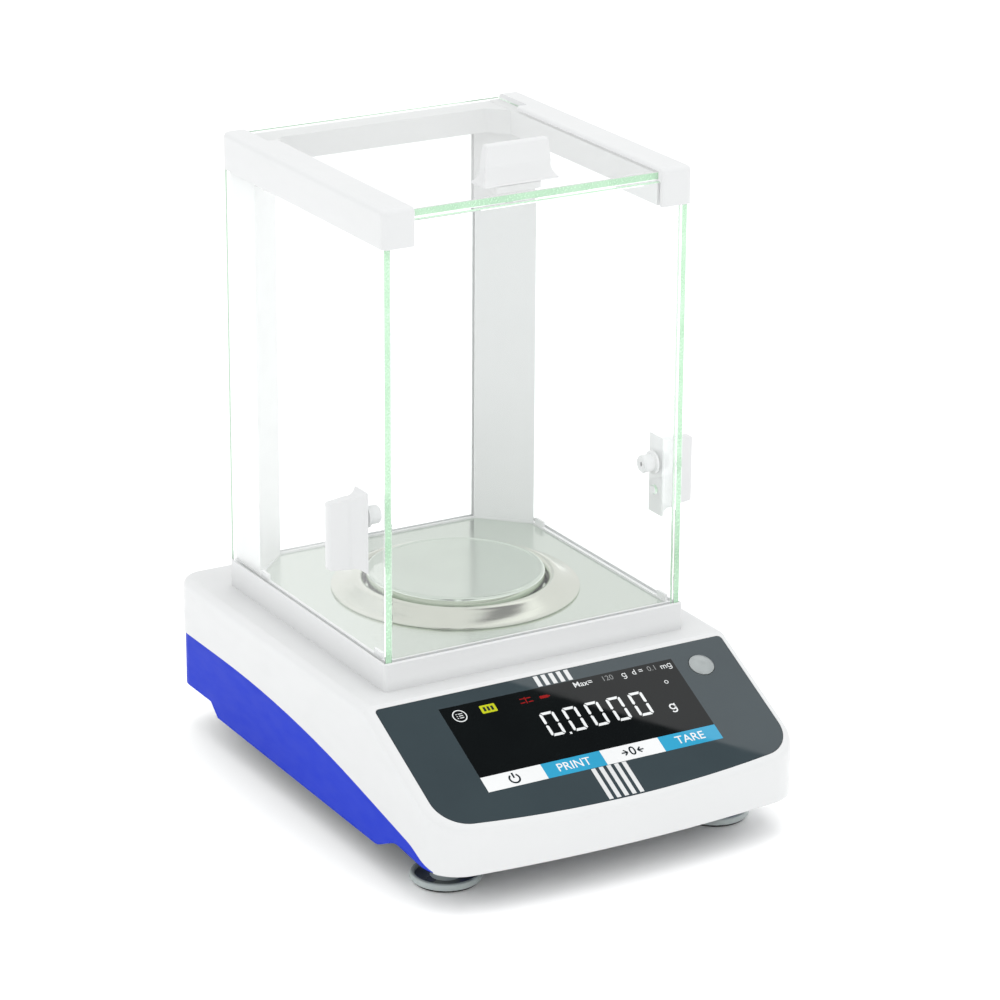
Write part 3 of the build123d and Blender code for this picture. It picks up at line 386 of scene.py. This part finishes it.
# The key fields are printed ink; their faint glow is painted light.
KEY_WHITE = ink("key_white", (0.581, 0.587, 0.587), (0.554, 0.561, 0.561), 0.1)
KEY_CYAN = ink("key_cyan", (0.026, 0.249, 0.406), (0.023, 0.232, 0.383), 0.06)
DIM_WHITE = ink("dim_white", (0.180, 0.186, 0.186), (0.162, 0.168, 0.168))
DARK_INK = ink("dark_ink", (0.014, 0.021, 0.025), (0.011, 0.017, 0.020))
LIME_INK = ink("lime_ink", (0.384, 0.409, 0.012), (0.347, 0.372, 0.012), 0.1)
RED_INK = ink("red_ink", (0.205, 0.007, 0.007), (0.174, 0.006, 0.006), 0.05)
BAR_WHITE = ink("bar_white", (0.541, 0.548, 0.548), (0.515, 0.521, 0.521))
GLASS_X = pane_glass("door_glass", "X")
GLASS_Y = pane_glass("upright_glass", "Y")
GLASS_Z = pane_glass("top_glass", "Z")
LEVEL = level_dome("level_dome")
FLOOR_STEEL = worked_metal("floor_steel", (0.74, 0.80, 0.735), (0.715, 0.775, 0.71), 0.2, (900, 900, 900),
                           relief=0.03, swing=0.03)
PAN_TOP = turned_metal("pan_top", (0.72, 0.79, 0.715), (0.70, 0.765, 0.695), 0.16, PAN_CENTRE, relief=0.02)
# The pan's rim, wall and underside: the same steel as its top, really polished smoother, and painted a
# lighter colour as a highlight.
PAN_WALL_HIGHLIGHT = turned_metal("pan_wall_highlight", (0.92, 0.93, 0.90), (0.88, 0.89, 0.86), 0.05, PAN_CENTRE, 900)
RING_STEEL = turned_metal("ring_steel", (0.76, 0.78, 0.70), (0.72, 0.74, 0.66), 0.2, PAN_CENTRE, 1400)
ALUMINIUM = worked_metal("machined_aluminium", (0.72, 0.73, 0.74), (0.64, 0.65, 0.66), 0.32, (60, 1500, 300))
SPRING_STEEL = worked_metal("pot_steel", (0.42, 0.43, 0.45), (0.36, 0.37, 0.39), 0.28, (1200, 1200, 120))
SCREW_STEEL = worked_metal("screw_steel", (0.60, 0.60, 0.61), (0.50, 0.50, 0.52), 0.3, (900, 900, 900))
SOCKET = worked_metal("socket_nickel", (0.68, 0.68, 0.68), (0.60, 0.60, 0.61), 0.2, (700, 700, 700))
BRASS = worked_metal("turned_brass", (0.72, 0.50, 0.20), (0.62, 0.42, 0.16), 0.24, (200, 200, 2400))
BOARD = circuit_board("circuit_board")
COPPER = winding("copper_winding")
TABLE = studio_floor("studio_floor")

FINISHES = {
    "white_plastic": WHITE, "blue_plastic": BLUE, "grey_plastic": GREY, "black_plastic": BLACK,
    "panel_glass": PANEL, "level_glass": LEVEL, "display": WINDOW, "board": BOARD,
    "steel_satin": FLOOR_STEEL, "steel_polished": RING_STEEL, "aluminium": ALUMINIUM,
    "pot_steel": SPRING_STEEL, "copper": COPPER, "brass": BRASS, "rubber": RUBBER,
    "screw_steel": SCREW_STEEL, "socket_metal": SOCKET,
}
PANES = {
    "left_door_glass": GLASS_X, "right_door_glass": GLASS_X, "front_pane": GLASS_Y, "rear_pane": GLASS_Y,
    "top_glass": GLASS_Z,
}
# What stands over the panel. The glossy front shows the studio, not these.
OVERHEAD = {
    *PANES, "top_handle", "top_plate", "right_rail", "left_rail", "rear_crossbar", "right_door_handle",
}


def dress(obj, *paints):
    """Gives a piece its materials."""
    obj.data.materials.clear()
    for paint in paints:
        obj.data.materials.append(paint.material)


def dress_frame():
    """Every CAD node takes the finish of its slot, and every pane its own glass."""
    for part in frame["record"]["subparts"]:
        node = frame["nodes"][part["node"]]
        paint = PANES.get(part["node"]) or FINISHES[part["material_slot"]]
        dress(node, paint)
        if part["node"] in PANES:
            node.visible_shadow = False
            node.visible_diffuse = False
        if part["node"] in OVERHEAD:
            node.visible_glossy = False


# ---------------------------------------------------------------- mesh helpers
def new_piece(name, form, body, slot, *paints):
    """Turns a bmesh into a piece that rides on a body."""
    mesh = bpy.data.meshes.new(name)
    form.to_mesh(mesh)
    form.free()
    obj = bpy.data.objects.new(name, mesh)
    bpy.context.scene.collection.objects.link(obj)
    dress(obj, *paints)
    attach(obj, body)
    return obj


def curve_through(points, steps):
    """Points on a smooth curve through the given (radius, height) points."""
    padded = [points[0], *points, points[-1]]
    result = []
    for before, start, end, after in zip(padded, padded[1:], padded[2:], padded[3:]):
        for step in range(steps):
            t = step / steps
            weights = (-t + 2 * t**2 - t**3, 2 - 5 * t**2 + 3 * t**3, t + 4 * t**2 - 3 * t**3, t**3 - t**2)
            corners = (before, start, end, after)
            result.append(tuple(sum(w * c[k] for w, c in zip(weights, corners)) / 2 for k in (0, 1)))
    return result + [points[-1]]


def arc(centre, radius, start, end, steps):
    """Points on a circular arc in the (radius, height) plane, with angles in degrees."""
    angles = [math.radians(start + (end - start) * i / steps) for i in range(steps + 1)]
    return [(centre[0] + radius * math.cos(a), centre[1] + radius * math.sin(a)) for a in angles]


def lathe(profile, x, y, segments=192):
    """A closed turned form from a closed (radius, height) profile in millimetres."""
    form = bmesh.new()
    rows = []
    for radius, height in profile:
        if radius < 1e-6:
            rows.append([form.verts.new((x, y, height * MM))])
            continue
        row = []
        for index in range(segments):
            angle = 2 * math.pi * index / segments
            place = (x + radius * MM * math.cos(angle), y + radius * MM * math.sin(angle), height * MM)
            row.append(form.verts.new(place))
        rows.append(row)
    for upper, lower in zip(rows, rows[1:] + rows[:1]):
        if len(upper) == 1 and len(lower) == 1:
            continue
        for index in range(segments):
            after = (index + 1) % segments
            if len(upper) == 1:
                corners = (upper[0], lower[index], lower[after])
            elif len(lower) == 1:
                corners = (upper[index], lower[0], upper[after])
            else:
                corners = (upper[index], lower[index], lower[after], upper[after])
            form.faces.new(corners)
    bmesh.ops.recalc_face_normals(form, faces=form.faces)
    for face in form.faces:
        face.smooth = True
    return form


def crease(obj, degrees=32):
    """Keeps edges sharper than an angle crisp on a smooth-shaded piece."""
    limit = math.cos(math.radians(degrees))
    form = bmesh.new()
    form.from_mesh(obj.data)
    for edge in form.edges:
        if len(edge.link_faces) == 2 and edge.link_faces[0].normal.dot(edge.link_faces[1].normal) < limit:
            edge.smooth = False
    form.to_mesh(obj.data)
    form.free()


# ---------------------------------------------------------------- pan and draught ring
def make_pan():
    """The pan: flat satin top inside a rolled rim and polished wall, whose lighter colour is a painted
    highlight, hub and bore underneath.
    """
    rim = pan_high.z / MM
    low = pan_low.z / MM
    outer = (pan_high.x - pan_low.x) / 2 / MM
    dish = rim - DISH_DEPTH
    lip = outer - LIP_RADIUS
    wall_low = rim - PAN_WALL_HEIGHT
    under = rim - PAN_SHEET
    hem = 0.4
    profile = [(0, dish), (outer - 3.4, dish)]
    profile += curve_through([(outer - 3.2, rim - 0.48), (outer - 2.4, rim - 0.16), (lip, rim)], 4)
    profile += arc((lip, rim - LIP_RADIUS), LIP_RADIUS, 85, 0, 10)
    profile += [(outer, wall_low + hem + 0.1)]
    profile += arc((outer - hem, wall_low + hem), hem, 0, -180, 8)
    profile += [(outer - 2 * hem, under - 0.6), (outer - 1.4, under)]
    profile += [(HUB_RADIUS + 0.4, under), (HUB_RADIUS, under - 0.4), (HUB_RADIUS, low + 0.3)]
    profile += [(HUB_RADIUS - 0.3, low), (5.2, low), (BORE_RADIUS, low + 1.1)]
    profile += [(BORE_RADIUS, BORE_TOP), (0, BORE_TOP)]
    form = lathe(profile, PAN_CENTRE.x, PAN_CENTRE.y)
    flat = (outer - 3.3) * MM
    for face in form.faces:
        middle = face.calc_center_median()
        inside = math.hypot(middle.x - PAN_CENTRE.x, middle.y - PAN_CENTRE.y) < flat
        face.material_index = 0 if inside and face.normal.z > 0.9 else 1
    piece = new_piece("pan_dish", form, "pan", "steel_satin", PAN_TOP, PAN_WALL_HIGHLIGHT)
    crease(piece)
    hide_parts("weighing_pan")


def make_ring():
    """The draught ring: pressed sheet with a flared skirt, a rounded crest and a rolled outer edge."""
    low = ring_low.z / MM
    outer = (ring_high.x - ring_low.x) / 2 / MM
    crest = ring_high.z / MM
    bead_radius = 0.7
    crest_radius = 50.0
    skirt = [(outer - 0.9, low + 1.35), (58.5, low + 3.0), (54.6, low + 5.2), (52.0, crest - 0.55)]
    throat = [(crest_radius, crest), (48.2, crest - 0.6), (47.0, 102.6), (RING_HOLE_RADIUS, 101.0)]
    upper = curve_through(skirt + throat, 6)
    under = [(r + 0.15 * (r > crest_radius), z - RING_SHEET) for r, z in reversed(upper)]
    under = [(max(r, RING_HOLE_RADIUS), max(z, low + 0.35)) for r, z in under]
    bead = arc((outer - bead_radius, low + bead_radius), bead_radius, -90, 70, 8)
    profile = [*bead, *upper[1:], *under[:-1], (outer - 2 * bead_radius, low + 0.3)]
    form = lathe(profile, PAN_CENTRE.x, PAN_CENTRE.y, 224)
    piece = new_piece("draft_ring_pressing", form, "ring", "steel_polished", RING_STEEL)
    crease(piece, 50)
    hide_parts("draft_ring")


# ---------------------------------------------------------------- printed panel
def prism(form, outline, low, high):
    """A flat printed shape on the panel: an outline in (x, down) millimetres, given a little body."""
    bottom = [form.verts.new((x * MM, -down * MM, low * MM)) for x, down in outline]
    top = [form.verts.new((x * MM, -down * MM, high * MM)) for x, down in outline]
    form.faces.new(top)
    form.faces.new(list(reversed(bottom)))
    for index in range(len(outline)):
        after = (index + 1) % len(outline)
        form.faces.new((bottom[index], bottom[after], top[after], top[index]))


def rectangle(left, right, top, bottom, radius=0.0, steps=4):
    """The outline of a rectangle with rounded corners."""
    if not radius:
        return [(left, top), (right, top), (right, bottom), (left, bottom)]
    corners = ((right - radius, top + radius, -90), (right - radius, bottom - radius, 0),
               (left + radius, bottom - radius, 90), (left + radius, top + radius, 180))
    return [point for x, y, turn in corners for point in arc((x, y), radius, turn, turn + 90, steps)]


def bar(start, end, width):
    """The outline of a straight stroke."""
    dx, dy = end[0] - start[0], end[1] - start[1]
    length = math.hypot(dx, dy)
    nx, ny = -dy / length * width / 2, dx / length * width / 2
    return [(start[0] + nx, start[1] + ny), (end[0] + nx, end[1] + ny),
            (end[0] - nx, end[1] - ny), (start[0] - nx, start[1] - ny)]


def ring_outline(centre, radius, width, start=0, end=360, steps=28):
    """The outline of a circular stroke, left open by a hair so that it is one loop."""
    outer = arc(centre, radius, start, end - 0.01, steps)
    inner = arc(centre, radius - width, end - 0.01, start, steps)
    return outer + inner


def printed(name, outlines, paint, layer, slot="panel_glass"):
    """One piece of printed shapes. A higher layer lies on a lower one."""
    form = bmesh.new()
    low = layer * PRINT_THICKNESS * LAYER_STEP
    for outline in outlines:
        prism(form, outline, low, low + PRINT_THICKNESS)
    bmesh.ops.recalc_face_normals(form, faces=form.faces)
    place = PANEL_MATRIX @ Matrix.Translation((PRINT_SHIFT * MM, 0, 0))
    bmesh.ops.transform(form, matrix=place, verts=form.verts)
    return new_piece(name, form, "root", slot, paint)


def lettering(name, words, paint, layer, slot="panel_glass"):
    """One piece of generic words and numbers, from (text, x, down, size, weight) rows."""
    form = bmesh.new()
    for text, x, down, size, weight in words:
        curve = bpy.data.curves.new(name, "FONT")
        curve.body = text
        curve.size = size * MM
        curve.align_x = "CENTER"
        curve.align_y = "CENTER"
        curve.offset = weight * MM
        curve.extrude = PRINT_THICKNESS / 2 * MM
        curve.resolution_u = 6
        holder = bpy.data.objects.new(name, curve)
        bpy.context.scene.collection.objects.link(holder)
        shaped = holder.evaluated_get(bpy.context.evaluated_depsgraph_get())
        shapes = bpy.data.meshes.new_from_object(shaped)
        height = (layer * LAYER_STEP + 0.5) * PRINT_THICKNESS
        place = Matrix.Translation(((x + PRINT_SHIFT) * MM, -down * MM, height * MM))
        shapes.transform(PANEL_MATRIX @ place)
        form.from_mesh(shapes)
        bpy.data.objects.remove(holder)
        bpy.data.meshes.remove(shapes)
        bpy.data.curves.remove(curve)
    bmesh.ops.remove_doubles(form, verts=form.verts, dist=1e-7)
    return new_piece(name, form, "root", slot, paint)


def digit_outlines(left, top, right, bottom, stroke):
    """The six lit segments of a zero, with mitred ends and small gaps between them."""
    gap = DIGIT_GAP
    middle = (top + bottom) / 2
    inner_left, inner_right = left + stroke, right - stroke
    inner_top, inner_bottom = top + stroke, bottom - stroke
    half = stroke / 2
    shapes = [
        [(left + half + gap, top), (right - half - gap, top), (inner_right - gap, inner_top),
         (inner_left + gap, inner_top)],
        [(inner_left + gap, inner_bottom), (inner_right - gap, inner_bottom), (right - half - gap, bottom),
         (left + half + gap, bottom)],
    ]
    mitre = half * 0.4
    for edge, inner in ((left, inner_left), (right, inner_right)):
        centre = (edge + inner) / 2
        shapes.append([(edge, top + half + gap), (centre, top + mitre + gap), (inner, inner_top + gap),
                       (inner, middle - half - gap), (centre, middle - gap), (edge, middle - half)])
        shapes.append([(edge, middle + half), (centre, middle + gap), (inner, middle + half + gap),
                       (inner, inner_bottom - gap), (centre, bottom - mitre - gap),
                       (edge, bottom - half - gap)])
    return shapes


def small_g(x, down, radius, stroke):
    """The outlines of a plain small letter g about the centre of its bowl."""
    right = x + radius - stroke
    tail = down + 1.05 * radius
    return [ring_outline((x, down), radius, stroke), rectangle(right, x + radius, down - radius, tail),
            ring_outline((x, tail), radius, stroke, 0, 150, 12)]


def make_window():
    """The black window and the reading of zero in it."""
    window = rectangle(-WINDOW_HALF_WIDTH, WINDOW_HALF_WIDTH, WINDOW_TOP, KEYS_TOP)
    printed("display_window", [window], WINDOW, 0, "display")
    digits = []
    for index in range(DIGIT_COUNT):
        left = DIGIT_LEFT + DIGIT_PITCH * index
        digits += digit_outlines(left, DIGIT_TOP, left + DIGIT_WIDTH, DIGIT_BOTTOM, DIGIT_STROKE)
    dot_x = DIGIT_LEFT + (DIGIT_WIDTH + DIGIT_PITCH) / 2
    digits.append(rectangle(dot_x - 0.6, dot_x + 0.6, DIGIT_BOTTOM - 0.4, DIGIT_BOTTOM + 0.9, 0.2))
    printed("reading_digits", digits, LIT_WHITE, 1, "display")

def make_status():
    """A menu mark, a stability mark, a plain lime tag and plain red marks."""
    menu_x, menu_y = -58.8, 14.7
    line_half = 0.22
    marks = [ring_outline((menu_x, menu_y), 3.9, 0.55)]
    for row in (-1.3, 0.0, 1.3):
        top, bottom = menu_y + row - line_half, menu_y + row + line_half
        marks.append(rectangle(menu_x - 0.4, menu_x + 1.9, top, bottom))
        marks.append(rectangle(menu_x - 1.7, menu_x - 1.1, top, bottom))
    marks.append(ring_outline((57.1, 21.7), 1.15, 0.36))
    printed("status_marks", marks, LIT_WHITE, 1, "display")

    printed("status_tag", [rectangle(-46.5, -37.9, 11.3, 16.5, 0.6)], LIME_INK, 1, "display")
    tag_bars = [rectangle(x, x + 1.3, 12.5, 15.3) for x in (-45.0, -42.85, -40.7)]
    printed("status_tag_bars", tag_bars, DARK_INK, 2, "display")

    beam_x, beam_y = -20.8, 14.0
    tray_y = beam_y + 1.2
    rail_y = beam_y - 1.3
    tray_width, beam_width = 0.65, 0.6
    warning = [
        bar((beam_x - 3.6, tray_y), (beam_x - 1.0, tray_y), tray_width),
        bar((beam_x + 1.0, tray_y), (beam_x + 3.6, tray_y), tray_width),
        bar((beam_x - 3.2, rail_y), (beam_x + 3.2, rail_y), beam_width),
        bar((beam_x, beam_y - 2.2), (beam_x, beam_y + 2.0), beam_width),
    ]
    battery_x, battery_y = -10.3, 14.2
    warning.append(rectangle(battery_x - 2.6, battery_x + 2.2, battery_y - 0.9, battery_y + 0.9, 0.3))
    warning.append(rectangle(battery_x + 2.4, battery_x + 3.1, battery_y - 0.45, battery_y + 0.45))
    printed("warning_marks", warning, RED_INK, 1, "display")


def make_header():
    """The capacity and the readability in the window's top line, and the unit beside the reading."""
    line = HEADER_LINE
    low_line = line + 0.3
    lettering("header_words", [("Max=", 13.6, line, 4.9, 0.01), ("d =", 45.6, line, 4.9, 0.0),
                               ("m", 60.8, low_line, 5.0, 0.0)], LIT_WHITE, 1, "display")
    lettering("header_numbers", [("120", 27.9, line, 4.6, 0.0), ("0.1", 54.2, line, 4.6, 0.0)],
              DIM_WHITE, 1, "display")
    grams = small_g(37.4, low_line, 1.25, 0.42) + small_g(64.2, low_line, 1.25, 0.4)
    printed("header_grams", grams, LIT_WHITE, 1, "display")
    printed("unit", small_g(52.0, 37.6, 1.9, 0.75), LIT_WHITE, 1, "display")


def make_keys():
    """The four touch keys under the window."""
    white, cyan = [], []
    for index in range(KEY_COUNT):
        left = -WINDOW_HALF_WIDTH + KEY_WIDTH * index
        keys = cyan if index % 2 else white
        keys.append(rectangle(left, left + KEY_WIDTH, KEYS_TOP, KEYS_BOTTOM))
    printed("keys_white", white, KEY_WHITE, 0)
    printed("keys_cyan", cyan, KEY_CYAN, 0)
    middle = (KEYS_TOP + KEYS_BOTTOM) / 2
    centres = [-WINDOW_HALF_WIDTH + KEY_WIDTH * (index + 0.5) for index in range(KEY_COUNT)]
    power_x, print_x, zero_x, tare_x = centres
    power_y = middle + 0.1
    power_stroke, arrow_stroke = 1.0, 0.8
    barb_back, barb_out = 1.9, 1.7
    stem = bar((power_x, power_y - 3.7), (power_x, power_y - 0.4), power_stroke)
    symbols = [ring_outline((power_x, power_y), 3.2, power_stroke, -55, 235), stem]
    for side in (-1, 1):
        tip = zero_x + side * 2.9
        tail = zero_x + side * 6.3
        barb = tip + side * barb_back
        symbols.append(bar((tip, middle), (tail, middle), arrow_stroke))
        symbols.append(bar((tip, middle), (barb, middle - barb_out), arrow_stroke))
        symbols.append(bar((tip, middle), (barb, middle + barb_out), arrow_stroke))
    printed("key_symbols", symbols, DARK_INK, 1)
    lettering("key_zero", [("0", zero_x, middle, 7.6, 0.1)], DARK_INK, 1)
    words = [("PRINT", print_x, middle, 7.0, 0.04), ("TARE", tare_x, middle, 7.0, 0.04)]
    lettering("key_words", words, KEY_WHITE, 1)


def make_bars():
    """Plain equal bars above and below the display."""
    count = 5
    first = -10.0
    spacing = 4.4
    width = 2.4
    lefts = [first + spacing * index for index in range(count)]
    above = [rectangle(left, left + width, 0.6, WINDOW_TOP - 0.5) for left in lefts]
    below = [rectangle(left, left + width, KEYS_BOTTOM + 0.3, BARS_BOTTOM) for left in lefts]
    printed("panel_bars", above + below, BAR_WHITE, 0)


# ---------------------------------------------------------------- studio
def make_camera():
    """The camera, turned by its yaw, then its pitch, then its roll."""
    yaw, pitch, roll = CAMERA_YAW, CAMERA_PITCH, CAMERA_ROLL
    back = Vector((math.sin(yaw) * math.cos(pitch), -math.cos(yaw) * math.cos(pitch), math.sin(pitch)))
    right = (-back).cross(Vector((0, 0, 1))).normalized()
    up = back.cross(right)
    across = math.cos(roll) * right + math.sin(roll) * up
    above = math.cos(roll) * up - math.sin(roll) * right
    turn = Matrix((across, above, back)).transposed().to_4x4()
    camera = bpy.data.objects.new("camera", bpy.data.cameras.new("camera"))
    camera.data.lens = CAMERA_LENS
    camera.data.sensor_width = 36
    camera.data.clip_start = 0.05
    camera.data.clip_end = 60
    camera.matrix_world = Matrix.Translation(CAMERA_PLACE) @ turn
    bpy.context.scene.collection.objects.link(camera)
    bpy.context.scene.camera = camera


def make_floor():
    """A wide white floor under the balance."""
    form = bmesh.new()
    bmesh.ops.create_circle(form, cap_ends=True, radius=FLOOR_RADIUS, segments=96)
    mesh = bpy.data.meshes.new("floor")
    form.to_mesh(mesh)
    form.free()
    floor = bpy.data.objects.new("floor", mesh)
    bpy.context.scene.collection.objects.link(floor)
    floor.data.materials.append(TABLE.material)
    floor.location.z = -0.0001


def soft_light(name, place, target, size, power):
    """A square soft box aimed at a point, which glossy surfaces don't show."""
    data = bpy.data.lights.new(name, "AREA")
    data.size = size
    data.energy = power
    light = bpy.data.objects.new(name, data)
    light.location = place
    light.rotation_mode = "QUATERNION"
    light.rotation_quaternion = (Vector(target) - Vector(place)).to_track_quat("-Z", "Y")
    light.visible_glossy = False
    bpy.context.scene.collection.objects.link(light)


def make_world():
    """A light tent: even light for matt surfaces; for gloss a bright horizon, dark cloths and a soft box."""
    world = bpy.data.worlds.new("studio")
    world.use_nodes = True
    bpy.context.scene.world = world
    nodes, links = world.node_tree.nodes, world.node_tree.links
    nodes.clear()
    direction = nodes.new("ShaderNodeTexCoord").outputs["Generated"]

    def toward(vector, start, end):
        """0 to 1 as the direction turns from one cosine to another about a vector."""
        dot = nodes.new("ShaderNodeVectorMath")
        dot.operation = "DOT_PRODUCT"
        dot.inputs[1].default_value = vector
        links.new(direction, dot.inputs[0])
        ramp = nodes.new("ShaderNodeMapRange")
        ramp.interpolation_type = "SMOOTHSTEP"
        ramp.inputs["From Min"].default_value = start
        ramp.inputs["From Max"].default_value = end
        links.new(dot.outputs["Value"], ramp.inputs["Value"])
        return ramp.outputs["Result"]

    def layer(factor, under, over):
        """One brightness laid over another."""
        mix = nodes.new("ShaderNodeMix")
        links.new(factor, mix.inputs["Factor"])
        for socket, value in ((mix.inputs["A"], under), (mix.inputs["B"], over)):
            if isinstance(value, float):
                socket.default_value = value
            else:
                links.new(value, socket)
        return mix.outputs["Result"]

    def compare(operation, value):
        """1 where a socket is above or below a half."""
        node = nodes.new("ShaderNodeMath")
        node.operation = operation
        node.inputs[1].default_value = 0.5
        links.new(value, node.inputs[0])
        return node.outputs["Value"]

    soft_box = toward(SOFT_BOX_EDGE, -0.0004, 0.0006)
    roof = layer(soft_box, ROOF_SHADE, SOFT_BOX_GLOW)
    right_cloth = toward(STRIP_ACROSS, 0.05, 0.10)
    left_cloth = toward([-v for v in STRIP_ACROSS], 0.05, 0.10)
    strip = layer(right_cloth, layer(left_cloth, STRIP_GLOW, DARK_CLOTH), DARK_CLOTH)
    sides = layer(toward(DARK_SIDE, 0.90, 0.97), HORIZON_GLOW, strip)
    tent = layer(toward(OVER_PANEL, 0.955, 0.975), sides, roof)

    gloss = nodes.new("ShaderNodeBackground")
    links.new(tent, gloss.inputs["Strength"])
    even = nodes.new("ShaderNodeBackground")
    even.inputs["Color"].default_value = EVEN_TINT
    even.inputs["Strength"].default_value = EVEN_GLOW
    path = nodes.new("ShaderNodeLightPath").outputs
    mirrored_only = nodes.new("ShaderNodeMath")
    mirrored_only.operation = "MULTIPLY"
    links.new(compare("GREATER_THAN", path["Glossy Depth"]), mirrored_only.inputs[0])
    links.new(compare("LESS_THAN", path["Diffuse Depth"]), mirrored_only.inputs[1])
    both = nodes.new("ShaderNodeMixShader")
    links.new(mirrored_only.outputs["Value"], both.inputs["Fac"])
    links.new(even.outputs["Background"], both.inputs[1])
    links.new(gloss.outputs["Background"], both.inputs[2])
    output = nodes.new("ShaderNodeOutputWorld")
    links.new(both.outputs["Shader"], output.inputs["Surface"])
    world.cycles.sampling_method = "NONE"


make_camera()
dress_frame()
make_pan()
make_ring()
make_window()
make_status()
make_header()
make_keys()
make_bars()
make_floor()
make_world()
soft_light("key", KEY_PLACE, KEY_TARGET, KEY_SIZE, KEY_POWER)
bpy.context.scene.view_settings.view_transform = "Standard"
